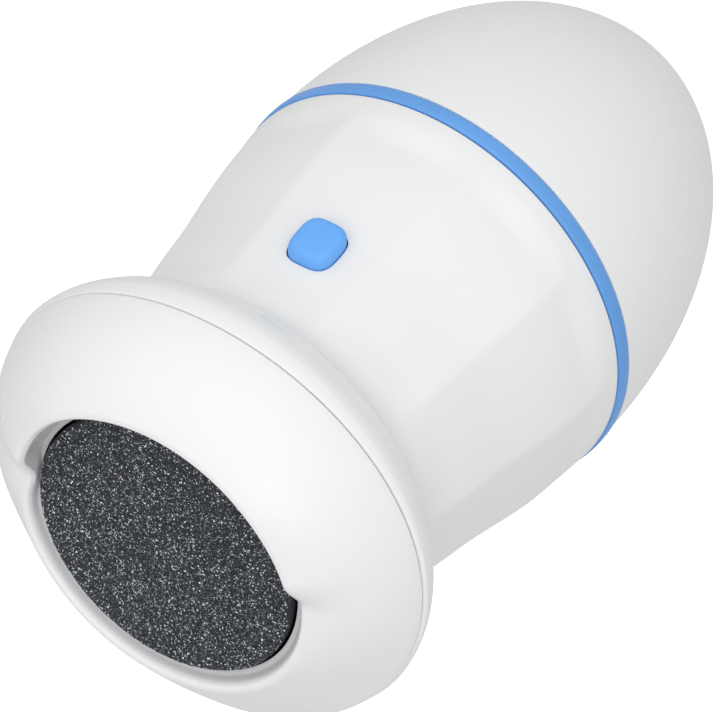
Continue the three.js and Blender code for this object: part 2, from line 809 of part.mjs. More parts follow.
const MAGNET_BOTTOM = 68;
const MAGNET_LENGTH = 18;
const MAGNET_HALF_ANGLE = 62;
const MAGNET_SEGMENTS = 6;

function magnet(side) {
  const inner = ROTOR_RADIUS + GAP;
  const outer = MOTOR_RADIUS - CAN_WALL - GAP;
  const half = radians(MAGNET_HALF_ANGLE);
  const outline = new THREE.Shape();
  outline.absarc(0, 0, outer, -half, half);
  outline.absarc(0, 0, inner, half, -half, true);
  const options = { depth: MAGNET_LENGTH, bevelEnabled: false, curveSegments: MAGNET_SEGMENTS };
  return new THREE.ExtrudeGeometry(outline, options)
    .translate(0, 0, MAGNET_BOTTOM)
    .rotateZ(side > 0 ? 0 : Math.PI);
}

add("magnet_left", magnet(1), MAGNET_GREY);
add("magnet_right", magnet(-1), MAGNET_GREY);

// ---------------------------------------------------------------- screws

const HEAD_SIDE_SHARE = 0.6;
const HEAD_TOP_SHARE = 0.8;

const MOTOR_SCREW = { head: 2, rise: 1.4, shank: 1, length: 4.4 };
const FAN_SCREW = { head: 1.9, rise: 1.3, shank: 1.05, length: 6 };
const CHASSIS_SCREW = { head: 2.4, rise: 1.6, shank: 1.1, length: 10 };
const HOLDER_SCREW = { head: 2.2, rise: 1.4, shank: 1.05, length: 4 };
const BOARD_SCREW = { head: 2, rise: 1.3, shank: 1.05, length: 5 };

// A pan-head screw that points down, with the underside of its head at height 0.
function screw({ head, rise, shank, length }) {
  return turned([
    [0, -length],
    [shank, -length],
    [shank, 0],
    [head, 0],
    [head, rise * HEAD_SIDE_SHARE],
    [head * HEAD_TOP_SHARE, rise],
    [0, rise],
  ], SCREW_SEGMENTS);
}

function addScrew(name, geometry, x, y, z) {
  add(name, geometry, STEEL).position.set(x, y, z);
}

// ---------------------------------------------------------------- bulkhead and fan shroud

const BULKHEAD_BOTTOM = MOTOR_FRONT + GAP;
const BULKHEAD_TOP = LEDGE_BOTTOM - GAP;
const BULKHEAD_RADIUS = 27.6;
const SHROUD_BOTTOM = LEDGE_TOP + GAP;
const SHROUD_FLANGE = 27.6;
const SHROUD_SHEET = 1.4;
const SHROUD_FLANGE_TOP = SHROUD_BOTTOM + 1.3;
const SHROUD_WALL_RADIUS = 23;
const OUTLET_WIDTH = 16;
const OUTLET_DEPTH = 8;
const OUTLET_HEIGHT = 4;
const OUTLET_LEVEL = 101.3;
const SHROUD_TOP = 105.4;
const SHROUD_INLET = 8;

function bulkhead() {
  const plate = tube(BUSHING_RADIUS + 2 * GAP, BULKHEAD_RADIUS, BULKHEAD_BOTTOM, BULKHEAD_TOP, DISC_SEGMENTS);
  const low = BULKHEAD_BOTTOM - OVERCUT;
  const high = BULKHEAD_TOP + OVERCUT;
  const holes = FAN_SCREW_ANGLES.map((angle) => {
    const [x, y] = around(FAN_SCREW_PLACE, angle);
    return rod(SCREW_HOLE, low, high, x, y, SCREW_SEGMENTS);
  });
  [-1, 1].forEach((side) => {
    holes.push(rod(SCREW_HOLE, low, high, side * MOTOR_SCREW_PLACE, 0, SCREW_SEGMENTS));
  });
  return carved(plate, holes);
}

add("motor_bulkhead", bulkhead(), DARK_PLASTIC);

[-1, 1].forEach((side, i) => {
  addScrew(`motor_screw_${i + 1}`, screw(MOTOR_SCREW), side * MOTOR_SCREW_PLACE, 0, BULKHEAD_TOP + GAP);
});

function fanShroud() {
  const cup = turned([
    [SHROUD_WALL_RADIUS - SHROUD_SHEET, SHROUD_BOTTOM],
    [SHROUD_FLANGE, SHROUD_BOTTOM],
    [SHROUD_FLANGE, SHROUD_FLANGE_TOP],
    [SHROUD_WALL_RADIUS, SHROUD_FLANGE_TOP],
    [SHROUD_WALL_RADIUS, SHROUD_TOP],
    [SHROUD_INLET, SHROUD_TOP],
    [SHROUD_INLET, SHROUD_TOP - SHROUD_SHEET],
    [SHROUD_WALL_RADIUS - SHROUD_SHEET, SHROUD_TOP - SHROUD_SHEET],
    [SHROUD_WALL_RADIUS - SHROUD_SHEET, SHROUD_BOTTOM],
  ], DISC_SEGMENTS);
  const cutters = FAN_SCREW_ANGLES.map((angle) => {
    const [x, y] = around(FAN_SCREW_PLACE, angle);
    return rod(SCREW_HOLE, SHROUD_BOTTOM - OVERCUT, SHROUD_FLANGE_TOP + OVERCUT, x, y, SCREW_SEGMENTS);
  });
  cutters.push(block(OUTLET_WIDTH, OUTLET_DEPTH, OUTLET_HEIGHT, 0, SHROUD_WALL_RADIUS, OUTLET_LEVEL));
  return carved(cup, cutters);
}

add("fan_shroud", fanShroud(), GREY_PLASTIC);

FAN_SCREW_ANGLES.forEach((angle, i) => {
  const [x, y] = around(FAN_SCREW_PLACE, angle);
  addScrew(`fan_screw_${i + 1}`, screw(FAN_SCREW), x, y, SHROUD_FLANGE_TOP + GAP);
});

// ---------------------------------------------------------------- dust tray and filter

const TRAY_SHEET = 1.4;
const TRAY_BOTTOM = SHROUD_TOP + GAP;
const TRAY_FLOOR = TRAY_BOTTOM + TRAY_SHEET;
const TRAY_HOLE = 15.6;
const TRAY_FOOT = 30.4;
const TRAY_FLOOR_EDGE = 29.6;
const TRAY_SIDE = 34.2;
const TRAY_SIDE_LEVEL = 109.2;
const TRAY_RIM = 34.6;
const TRAY_TOP = 111.2;

add("dust_tray", turned([
  [TRAY_HOLE, TRAY_BOTTOM],
  [TRAY_FOOT, TRAY_BOTTOM],
  [TRAY_SIDE, TRAY_SIDE_LEVEL],
  [TRAY_RIM, TRAY_TOP],
  [TRAY_RIM - TRAY_SHEET, TRAY_TOP],
  [TRAY_SIDE - TRAY_SHEET, TRAY_SIDE_LEVEL + TRAY_SHEET / 2],
  [TRAY_FLOOR_EDGE, TRAY_FLOOR],
  [TRAY_HOLE, TRAY_FLOOR],
  [TRAY_HOLE, TRAY_BOTTOM],
]), GREY_PLASTIC);

const FRAME_RADIUS = TRAY_HOLE - GAP;
const FRAME_BORE = 3.2;
const FRAME_SPOKES = 6;
const FRAME_WALL = 1.3;
const FRAME_BORE_WALL = 1.2;
const FRAME_GRID_TOP = TRAY_BOTTOM + 1.2;
const FRAME_TOP = 110.6;
const FLANGE_BOTTOM = TRAY_FLOOR + GAP;
const FLANGE_TOP = FLANGE_BOTTOM + 1;
const FLANGE_RADIUS = FRAME_RADIUS + 2;
const SPOKE_WIDTH = 1.3;
const SPOKE_OVERLAP = 0.4;
const SPONGE_BELOW_FRAME = 0.4;

function filterFrame() {
  const wall = turned([
    [FRAME_RADIUS - FRAME_WALL, TRAY_BOTTOM],
    [FRAME_RADIUS, TRAY_BOTTOM],
    [FRAME_RADIUS, FLANGE_BOTTOM],
    [FLANGE_RADIUS, FLANGE_BOTTOM],
    [FLANGE_RADIUS, FLANGE_TOP],
    [FRAME_RADIUS, FLANGE_TOP],
    [FRAME_RADIUS, FRAME_TOP],
    [FRAME_RADIUS - FRAME_WALL, FRAME_TOP],
    [FRAME_RADIUS - FRAME_WALL, TRAY_BOTTOM],
  ], INNER_SEGMENTS);
  const sleeve = tube(FRAME_BORE, FRAME_BORE + FRAME_BORE_WALL, TRAY_BOTTOM, FRAME_TOP, SCREW_SEGMENTS);
  const inner = FRAME_BORE + FRAME_BORE_WALL - SPOKE_OVERLAP;
  const outer = FRAME_RADIUS - FRAME_WALL + SPOKE_OVERLAP;
  const spoke = () => block(
    SPOKE_WIDTH,
    outer - inner,
    FRAME_GRID_TOP - TRAY_BOTTOM,
    0,
    -(outer + inner) / 2,
    (FRAME_GRID_TOP + TRAY_BOTTOM) / 2,
  );
  return joined(wall, [sleeve, ...ringOf(FRAME_SPOKES, spoke)]);
}

add("filter_frame", filterFrame(), DARK_PLASTIC);
add("sponge_filter", tube(
  FRAME_BORE + FRAME_BORE_WALL + GAP,
  FRAME_RADIUS - FRAME_WALL - GAP,
  FRAME_GRID_TOP + GAP,
  FRAME_TOP - SPONGE_BELOW_FRAME,
  INNER_SEGMENTS,
), FOAM);

// ---------------------------------------------------------------- chassis

const CHASSIS_BOTTOM = CHASSIS_TOP - CHASSIS_PLATE;
const COLLAR_LOW = 49;
const COLLAR_HIGH = 61;
const COLLAR_WALL = 1.6;
const LEAD_HOLE = 7.6;
const HOLDER_SCREW_PLACE = 13;
const BOARD_TAB_PLACE = 9;
const BOARD_Y = -21.8;

const STAND_WIDTH = 22;
const STAND_THICKNESS = 2;
const STAND_BOTTOM = 58.1;
const STAND_TOP = 72.1;
const STAND_Y = BOARD_Y + 2.1;
const BOARD_SCREW_LEVEL = CHASSIS_TOP + 9;
const LEAD_SLOT_WIDTH = 8;
const LEAD_SLOT_FRONT = -15;
const LEAD_SLOT_BACK = -6.6;
const SUPPORT_SIZE = 3;
const SUPPORT_X = 7;
const SUPPORT_Y = 24;
const SUPPORT_BOTTOM = 58.1;
const SUPPORT_TOP = 60.2;
const SOCKET_NOTCH_WIDTH = 25;
const SOCKET_NOTCH_DEPTH = 10;
const SOCKET_NOTCH_TOP = 70.2;

// A rod along Y through the board's tab and the stand behind it.
function boardScrewHole(side) {
  return rod(SCREW_HOLE, -STAND_THICKNESS * 2, STAND_THICKNESS * 2, 0, 0, SCREW_SEGMENTS)
    .rotateX(Math.PI / 2)
    .translate(side * BOARD_TAB_PLACE, STAND_Y, BOARD_SCREW_LEVEL);
}

// A block between two heights.
function pillar(width, depth, bottom, top, x, y) {
  return block(width, depth, top - bottom, x, y, (top + bottom) / 2);
}

function chassis() {
  const body = turned([
    [LEAD_HOLE, CHASSIS_BOTTOM],
    [CHASSIS_RADIUS - COLLAR_WALL, CHASSIS_BOTTOM],
    [CHASSIS_RADIUS - COLLAR_WALL, COLLAR_LOW],
    [CHASSIS_RADIUS, COLLAR_LOW],
    [CHASSIS_RADIUS, COLLAR_HIGH],
    [CHASSIS_RADIUS - COLLAR_WALL, COLLAR_HIGH],
    [CHASSIS_RADIUS - COLLAR_WALL, CHASSIS_TOP],
    [LEAD_HOLE, CHASSIS_TOP],
    [LEAD_HOLE, CHASSIS_BOTTOM],
  ]);
  const stand = pillar(STAND_WIDTH, STAND_THICKNESS, STAND_BOTTOM, STAND_TOP, 0, STAND_Y);
  const supports = [-1, 1].map((side) =>
    pillar(SUPPORT_SIZE, SUPPORT_SIZE, SUPPORT_BOTTOM, SUPPORT_TOP, side * SUPPORT_X, SUPPORT_Y));
  const low = CHASSIS_BOTTOM - OVERCUT;
  const high = CHASSIS_TOP + OVERCUT;
  const holes = BOSS_ANGLES.map((angle) => {
    const [x, y] = around(BOSS_PLACE, angle);
    return rod(SCREW_HOLE, low, high, x, y, SCREW_SEGMENTS);
  });
  [-1, 1].forEach((side) => {
    holes.push(rod(SCREW_HOLE, low, high, side * HOLDER_SCREW_PLACE, 0, SCREW_SEGMENTS));
    holes.push(boardScrewHole(side));
  });
  const slotDepth = LEAD_SLOT_BACK - LEAD_SLOT_FRONT;
  holes.push(pillar(LEAD_SLOT_WIDTH, slotDepth, low, high, 0, (LEAD_SLOT_BACK + LEAD_SLOT_FRONT) / 2));
  holes.push(
    pillar(SOCKET_NOTCH_WIDTH, SOCKET_NOTCH_DEPTH, CHASSIS_TOP, SOCKET_NOTCH_TOP, 0, CHASSIS_RADIUS));
  return carved(joined(body, [stand, ...supports]), holes);
}

add("chassis", chassis(), DARK_PLASTIC);

BOSS_ANGLES.forEach((angle, i) => {
  const [x, y] = around(BOSS_PLACE, angle);
  addScrew(`chassis_screw_${i + 1}`, screw(CHASSIS_SCREW), x, y, CHASSIS_TOP + GAP);
});

// ---------------------------------------------------------------- cell and holder

const CELL_TOP = CELL_BOTTOM + CELL_LENGTH;
const CELL_CRIMP = 0.4;
const CELL_SHOULDER = 0.8;
const CELL_BUTTON_RADIUS = 3;
const CELL_BUTTON_RISE = 0.7;

add("battery_cell", turned([
  [0, CELL_BOTTOM],
  [CELL_RADIUS - CELL_CRIMP, CELL_BOTTOM],
  [CELL_RADIUS, CELL_BOTTOM + CELL_CRIMP],
  [CELL_RADIUS, CELL_TOP - CELL_SHOULDER],
  [CELL_RADIUS - CELL_SHOULDER, CELL_TOP],
  [CELL_BUTTON_RADIUS, CELL_TOP],
  [CELL_BUTTON_RADIUS, CELL_TOP + CELL_BUTTON_RISE],
  [0, CELL_TOP + CELL_BUTTON_RISE],
], INNER_SEGMENTS), CELL_SLEEVE);

const HOLDER_INNER = CELL_RADIUS + GAP;
const HOLDER_OUTER = HOLDER_INNER + 1.5;
const HOLDER_FLANGE = 16;
const HOLDER_SHEET = 1.6;
const HOLDER_BOTTOM = 3;
const HOLDER_TOP = CHASSIS_BOTTOM - GAP;
const WINDOW_WIDTH = 15;
const WINDOW_DEPTH = 30;
const WINDOW_Y = -20;
const WINDOW_BOTTOM = 7;
const WINDOW_TOP = 57;

function batteryHolder() {
  const cup = turned([
    [0, HOLDER_BOTTOM],
    [HOLDER_OUTER, HOLDER_BOTTOM],
    [HOLDER_OUTER, HOLDER_TOP - HOLDER_SHEET],
    [HOLDER_FLANGE, HOLDER_TOP - HOLDER_SHEET],
    [HOLDER_FLANGE, HOLDER_TOP],
    [HOLDER_INNER, HOLDER_TOP],
    [HOLDER_INNER, CELL_BOTTOM - GAP],
    [0, CELL_BOTTOM - GAP],
  ], INNER_SEGMENTS);
  const window = pillar(WINDOW_WIDTH, WINDOW_DEPTH, WINDOW_BOTTOM, WINDOW_TOP, 0, WINDOW_Y);
  const low = HOLDER_TOP - HOLDER_SHEET - OVERCUT;
  const high = HOLDER_TOP + OVERCUT;
  const holes = [-1, 1].map((side) =>
    rod(SCREW_HOLE, low, high, side * HOLDER_SCREW_PLACE, 0, SCREW_SEGMENTS));
  return carved(cup, [window, ...holes]);
}

add("battery_holder", batteryHolder(), DARK_PLASTIC);

[-1, 1].forEach((side, i) => {
  addScrew(`holder_screw_${i + 1}`, screw(HOLDER_SCREW), side * HOLDER_SCREW_PLACE, 0, CHASSIS_TOP + GAP);
});

// ---------------------------------------------------------------- button, switch and circuit board

const BOARD_WIDTH = 24;
const BOARD_BOTTOM = 59;
const BOARD_TOP = 92.6;
const BOARD_THICKNESS = 1.6;
const BOARD_FACE = BOARD_Y - BOARD_THICKNESS / 2;
const SWITCH_SIZE = 6;
const SWITCH_DEPTH = 2;
const PLUNGER_RADIUS = 1.6;
const PLUNGER_TIP = BOARD_FACE - 3.4;
const STEM_GAP = 0.65;
const STEM_RADIUS = 1.8;
const BUTTON_SKIRT_DEPTH = 2.6;
const BUTTON_SHOULDER = 0.35;
const BUTTON_CROWN = 0.9;
const BUTTON_OVERLAP = 1;

// A round rod along Y at the height of the button.
function buttonRod(radius, front, back) {
  return rod(radius, front, back, 0, 0, SCREW_SEGMENTS).rotateX(-Math.PI / 2).translate(0, 0, BUTTON_HEIGHT);
}

// One step of the button, set in from its edge and leaning back as it rises.
function buttonStep(inset, front, back) {
  const lean = new THREE.Matrix4().makeShear(0, 0, 0, 0, 0, BUTTON_SLOPE);
  return roundedPlug(
    BUTTON_WIDTH - 2 * inset,
    BUTTON_LENGTH - 2 * inset,
    BUTTON_CORNER - inset,
    front,
    back,
    BUTTON_HEIGHT,
  ).applyMatrix4(lean).translate(0, -BUTTON_SLOPE * BUTTON_HEIGHT, 0);
}

function powerButton() {
  const face = -GRIP_FACE_AT_BUTTON;
  const inside = face + BUTTON_OVERLAP;
  const body = buttonStep(0, face, face + BUTTON_SKIRT_DEPTH);
  const shoulder = buttonStep(BUTTON_SHOULDER, face - BUTTON_PROUD / 2, inside);
  const crown = buttonStep(BUTTON_CROWN, face - BUTTON_PROUD, inside);
  return joined(body, [crown, shoulder, buttonRod(STEM_RADIUS, inside, PLUNGER_TIP - STEM_GAP)]);
}

add("power_button", powerButton(), BLUE_PLASTIC);

function circuitBoard() {
  const height = BOARD_TOP - BOARD_BOTTOM;
  const plate = block(BOARD_WIDTH, BOARD_THICKNESS, height, 0, BOARD_Y, (BOARD_TOP + BOARD_BOTTOM) / 2);
  return carved(plate, [-1, 1].map(boardScrewHole));
}

add("circuit_board", circuitBoard(), BOARD_GREEN);

const SWITCH_BACK = BOARD_FACE - GAP;
const SWITCH_FRONT = SWITCH_BACK - SWITCH_DEPTH;
const PLUNGER_BACK = SWITCH_FRONT + 0.9;
const PLUNGER_POCKET = 1.4;

function switchBody() {
  const middle = (SWITCH_BACK + SWITCH_FRONT) / 2;
  const body = block(SWITCH_SIZE, SWITCH_DEPTH, SWITCH_SIZE, 0, middle, BUTTON_HEIGHT);
  const bore = buttonRod(PLUNGER_RADIUS + GAP, SWITCH_FRONT - OVERCUT, SWITCH_FRONT + PLUNGER_POCKET);
  return carved(body, [bore]);
}

add("switch_body", switchBody(), STEEL);
add("switch_plunger", buttonRod(PLUNGER_RADIUS, PLUNGER_TIP, PLUNGER_BACK), DARK_PLASTIC);

[-1, 1].forEach((side, i) => {
  addScrew(
    `board_screw_${i + 1}`,
    screw(BOARD_SCREW).rotateX(Math.PI / 2),
    side * BOARD_TAB_PLACE,
    BOARD_FACE - GAP,
    BOARD_SCREW_LEVEL,
  );
});

// ---------------------------------------------------------------- charging board, socket and light

const CHARGE_BOARD_BOTTOM = 60.5;
const CHARGE_BOARD_TOP = 61.5;
const CHARGE_BOARD_FRONT = 31.8;
const CHARGE_BOARD_DEPTH = 10;
const CHARGE_BOARD_WIDTH = 22;
const SOCKET_WIDTH = 7.6;
const SOCKET_HEIGHT = 2.8;
const SOCKET_CORNER = 0.6;
const SOCKET_BACK = 28.2;
const SOCKET_FRONT = 35;
const SOCKET_SHEET = 0.4;
const TONGUE_SIZE = 4.6;
const TONGUE_THICKNESS = 0.8;
const TONGUE_Y = 31.3;
const LIGHT_BACK = 29;
const LIGHT_FRONT = 35.4;

add("charge_board", block(
  CHARGE_BOARD_WIDTH,
  CHARGE_BOARD_DEPTH,
  CHARGE_BOARD_TOP - CHARGE_BOARD_BOTTOM,
  0,
  CHARGE_BOARD_FRONT - CHARGE_BOARD_DEPTH / 2,
  (CHARGE_BOARD_TOP + CHARGE_BOARD_BOTTOM) / 2,
), BOARD_GREEN);

function chargeSocket() {
  const outside = roundedPlug(
    SOCKET_WIDTH, SOCKET_HEIGHT, SOCKET_CORNER, SOCKET_BACK, SOCKET_FRONT, INLET_LEVEL);
  const depth = SOCKET_FRONT - SOCKET_BACK;
  const inside = block(
    SOCKET_WIDTH - 2 * SOCKET_SHEET,
    depth,
    SOCKET_HEIGHT - 2 * SOCKET_SHEET,
    0,
    SOCKET_BACK + SOCKET_SHEET + depth / 2,
    INLET_LEVEL,
  );
  return carved(outside, [inside]);
}

add("charge_socket", chargeSocket(), STEEL);
add(
  "socket_tongue",
  block(TONGUE_SIZE, TONGUE_SIZE, TONGUE_THICKNESS, 0, TONGUE_Y, INLET_LEVEL),
  DARK_PLASTIC,
);
add(
  "charge_light",
  rod(LIGHT_RADIUS, LIGHT_BACK, LIGHT_FRONT, 0, 0, SCREW_SEGMENTS)
    .rotateX(-Math.PI / 2)
    .translate(LIGHT_PLACE, 0, INLET_LEVEL),
  LIGHT_LENS,
);

// ---------------------------------------------------------------- leads

const LEAD_RADIUS = 0.6;
const LEAD_SIDES = 8;
const LEAD_STEPS = 12;

function lead(stops) {
  const outline = [];
  for (let i = 0; i < LEAD_SIDES; i += 1) {
    const angle = (i / LEAD_SIDES) * 2 * Math.PI;
    outline.push(new THREE.Vector2(LEAD_RADIUS * Math.cos(angle), LEAD_RADIUS * Math.sin(angle)));
  }
  const points = stops.map((stop) => new THREE.Vector3(...stop));
  const path = new THREE.CatmullRomCurve3(points, false, "centripetal");
  const options = { steps: LEAD_STEPS, extrudePath: path, bevelEnabled: false };
  return new THREE.ExtrudeGeometry(new THREE.Shape(outline), options);
}

const BOARD_BACK = BOARD_Y + BOARD_THICKNESS / 2 + 2 * GAP;

[["motor_lead_red", 1, LEAD_RED], ["motor_lead_black", -1, LEAD_BLACK]].forEach(([name, side, finish]) => {
  add(name, lead([
    [side * 7.2, 0, 59.3],
    [side * 13.4, -4, 59.3],
    [side * 16, -11, 62],
    [side * 13.6, -18, 69],
    [side * 9, BOARD_BACK, 77],
  ]), finish);
});

add("battery_lead_red", lead([
  [-2.5, -4.2, 55.2],
  [-2.5, -9.4, 55.3],
  [-2.5, -13.3, 58.4],
  [-2.8, -15.4, 66],
  [-3.4, -16.4, 72],
  [-4.5, BOARD_BACK, 79],
]), LEAD_RED);

add("battery_lead_black", lead([
  [2.5, -10.4, 8],
  [2.5, -10.5, 50],
  [2.5, -13.3, 58.4],
  [2.8, -15.4, 66],
  [3.4, -16.4, 72],
  [4.5, BOARD_BACK, 79],
]), LEAD_BLACK);

export default part;
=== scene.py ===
"""Looks for the electric callus remover: shells, ring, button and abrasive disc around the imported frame.

Shapes are written in millimetres and scaled once, where each mesh is made. The button faces -Y, the disc +Z.
Angles go round the Z axis from -Y, so 90 degrees is on +X.
"""

import json
import math

import bmesh
import bpy
import numpy as np
from mathutils import Matrix, Vector


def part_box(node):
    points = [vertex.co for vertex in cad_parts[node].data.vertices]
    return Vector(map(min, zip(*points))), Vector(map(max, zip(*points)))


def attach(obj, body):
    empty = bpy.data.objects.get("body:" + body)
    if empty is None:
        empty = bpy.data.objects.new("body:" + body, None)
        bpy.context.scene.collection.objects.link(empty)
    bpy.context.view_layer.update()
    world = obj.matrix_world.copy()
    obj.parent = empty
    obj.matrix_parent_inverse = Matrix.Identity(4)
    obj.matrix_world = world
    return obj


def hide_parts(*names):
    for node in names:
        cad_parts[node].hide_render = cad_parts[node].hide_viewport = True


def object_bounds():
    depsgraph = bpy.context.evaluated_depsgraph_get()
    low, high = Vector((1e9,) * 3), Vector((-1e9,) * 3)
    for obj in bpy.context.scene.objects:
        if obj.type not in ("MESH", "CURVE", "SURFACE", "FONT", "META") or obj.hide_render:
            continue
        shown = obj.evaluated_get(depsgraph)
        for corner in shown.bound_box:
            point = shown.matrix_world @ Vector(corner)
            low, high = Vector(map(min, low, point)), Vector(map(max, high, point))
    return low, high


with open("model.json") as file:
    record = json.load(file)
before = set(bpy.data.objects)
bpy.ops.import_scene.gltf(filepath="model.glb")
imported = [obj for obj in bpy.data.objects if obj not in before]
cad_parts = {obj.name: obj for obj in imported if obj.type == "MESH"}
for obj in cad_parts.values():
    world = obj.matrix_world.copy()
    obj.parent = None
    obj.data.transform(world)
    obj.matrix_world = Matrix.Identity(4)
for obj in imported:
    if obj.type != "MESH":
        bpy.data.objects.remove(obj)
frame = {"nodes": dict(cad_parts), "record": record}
cad_low, cad_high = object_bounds()

MM = 0.001
MERGE_DISTANCE = 2e-6
SHARP_ANGLE = 38
SLOT_OF = {part["node"]: part["material_slot"] for part in frame["record"]["subparts"]}


def box_mm(node):
    low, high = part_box(node)
    return low / MM, high / MM


# ---------------------------------------------------------------- places read from the frame

RING_LOW, RING_HIGH = box_mm("accent_ring")
CAP_BOTTOM = box_mm("nozzle_cap")[0].z
DISC_LOW, DISC_HIGH = box_mm("abrasive_disc")
BUTTON_LOW, BUTTON_HIGH = box_mm("power_button")
SOCKET_LOW, SOCKET_HIGH = box_mm("charge_socket")
LIGHT_LOW, LIGHT_HIGH = box_mm("charge_light")

# ---------------------------------------------------------------- sizes, in millimetres

WALL = 2.2
GAP = 0.3
SEAM_GAP = 0.22
RING_RADIUS = RING_HIGH.x
EGG_CENTRE = 53.0
EGG_RADIUS = 36.5
EGG_LENGTH = 57.0
STAND_RADIUS = 13.0
FLOOR_HEIGHT = 2.4

BODY_POINTS = [
    (36.6, 55.85),
    (36.4, 62.0),
    (35.9, 69.0),
    (34.6, 77.0),
    (33.4, 84.0),
    (32.5, 91.0),
    (31.2, 97.0),
    (30.3, 101.0),
    (31.7, 104.0),
    (35.4, 107.0),
    (38.4, 110.0),
    (40.2, 113.3),
    (40.6, 115.0),
]
FACETS = 10
FACET_DEPTH = 0.5
FACET_SOFTNESS = 200
FACET_START, FACET_FULL = 58.0, 64.0
FACET_FADE, FACET_END = 94.0, 101.0

SEAM = 116.9
SEAM_WAVE = 1.2
SEAM_RADIUS = 40.2
SEAM_STEP = 0.3
FLARE_INNER = 38.2

DISC_EDGE = 128.7
DISC_RADIUS = DISC_HIGH.x
RIM_LOW, RIM_RAISED = 0.4, 5.2
RIM_FALL, RIM_FALL_START, RIM_FALL_END = 1.2, 36.0, 74.0
RIM_STEP_START, RIM_STEP_END = 71.5, 87.5
RIM_RADIUS = 25.9
RIM_FLARE, RIM_FLARE_START, RIM_FLARE_END = 1.0, 34.0, 70.0
RIM_LIP = 1.9
RIM_ROUND = 0.9
RIM_CREST = 0.15
SWELL_ANGLE, SWELL_WIDTH, SWELL_LEFT, SWELL_RIGHT = 86.0, 11.0, 1.3, 0.15
FACE_STEP_START, FACE_STEP_END, FACE_STEP_POWER = 52.0, 112.0, 4
CAP_BULGE, CAP_BULGE_FAR, BULGE_FADE_START, BULGE_FADE_END = 2.1, 0.2, 85.0, 130.0
CAP_INSET = 1.6
LIP_RADIUS, LIP_BOTTOM = 24.45, 126.6
SHELF_LEVEL, SHELF_RADIUS, SHELF_WIDTH, WALL_DRAFT = 127.4, 25.4, 0.1, 0.3
COLLAR_RADIUS, COLLAR_TOP, COLLAR_BOTTOM, COLLAR_WALL = 26.0, 125.7, 121.6, 1.6
SKIRT_OUTER, SKIRT_WALL = 36.4, 1.8

FINE_TURNS = 360
PLAIN_TURNS = 160

# ---------------------------------------------------------------- camera

SENSOR = 36.0
LENS = 1500.0
AZIMUTH, ELEVATION, ROLL = -30.6, 37.45, -134.69
DISTANCE = 4705.0
AIM_RIGHT, AIM_UP = -4.52, -4.68


def camera_axes():
    """Right, up and back of the photograph's camera, in the row frame."""
    a, e, roll = (math.radians(x) for x in (AZIMUTH, ELEVATION, ROLL))
    back = Vector((math.sin(a) * math.cos(e), -math.cos(a) * math.cos(e), math.sin(e)))
    level = Vector((math.cos(a), math.sin(a), 0))
    above = back.cross(level)
    right = level * math.cos(roll) + above * math.sin(roll)
    return right, back.cross(right), back


def make_camera():
    right, up, back = camera_axes()
    data = bpy.data.cameras.new("camera")
    data.sensor_width = SENSOR
    data.lens = LENS
    data.clip_start, data.clip_end = 0.05, 20
    camera = bpy.data.objects.new("camera", data)
    bpy.context.scene.collection.objects.link(camera)
    aim = (cad_low + cad_high) / 2 + (right * AIM_RIGHT + up * AIM_UP) * MM
    turn = Matrix((right, up, back)).transposed().to_4x4()
    camera.matrix_world = Matrix.Translation(aim + back * DISTANCE * MM) @ turn
    bpy.context.scene.camera = camera


make_camera()

# ---------------------------------------------------------------- mesh helpers


def smoothstep(value, low, high):
    t = min(1.0, max(0.0, (value - low) / (high - low)))
    return t * t * (3 - 2 * t)


def finish_mesh(name, mesh, sharp=SHARP_ANGLE):
    """Faces outward, smooth shading with sharp edges kept, and the object in the scene."""
    work = bmesh.new()
    work.from_mesh(mesh)
    bmesh.ops.remove_doubles(work, verts=work.verts, dist=MERGE_DISTANCE)
    bmesh.ops.recalc_face_normals(work, faces=work.faces)
    work.to_mesh(mesh)
    work.free()
    mesh.shade_smooth()
    mesh.set_sharp_from_angle(angle=math.radians(sharp))
    piece = bpy.data.objects.new(name, mesh)
    bpy.context.scene.collection.objects.link(piece)
    return piece


def mesh_from(name, points, faces):
    """A mesh from points in millimetres."""
    mesh = bpy.data.meshes.new(name)
    mesh.from_pydata([tuple(p) for p in np.asarray(points) * MM], [], faces)
    return mesh


def rounded(corners, steps=4):
    """A closed outline from (radius, height, rounding) corners; each corner becomes a short arc."""
    points = []
    count = len(corners)
    for i, (r, z, rounding) in enumerate(corners):
        here = np.array((r, z))
        if rounding <= 0:
            points.append(here)
            continue
        before = np.array(corners[i - 1][:2]) - here
        after = np.array(corners[(i + 1) % count][:2]) - here
        reach_before, reach_after = np.linalg.norm(before), np.linalg.norm(after)
        before, after = before / reach_before, after / reach_after
        half = math.acos(max(-1.0, min(1.0, float(before @ after)))) / 2
        reach = min(rounding / math.tan(half), 0.48 * reach_before, 0.48 * reach_after)
        start, end = here + before * reach, here + after * reach
        for k in range(steps + 1):
            t = k / steps
            points.append((1 - t) ** 2 * start + 2 * t * (1 - t) * here + t * t * end)
    return points


def turned(name, profile_at, turns=PLAIN_TURNS, sharp=SHARP_ANGLE):
    """A closed outline, which may change with the angle, turned about the Z axis."""
    rows = []
    for i in range(turns):
        degrees = 360 * i / turns
        angle = math.radians(degrees)
        outline = np.array(profile_at(degrees), float)
        out = outline[:, 0]
        rows.append(np.stack([out * math.sin(angle), -out * math.cos(angle), outline[:, 1]], 1))
    count = len(rows[0])
    faces = []
    for i in range(turns):
        here, there = i * count, ((i + 1) % turns) * count
        for j in range(count):
            k = (j + 1) % count
            faces.append((here + j, there + j, there + k, here + k))
    return finish_mesh(name, mesh_from(name, np.concatenate(rows), faces), sharp)


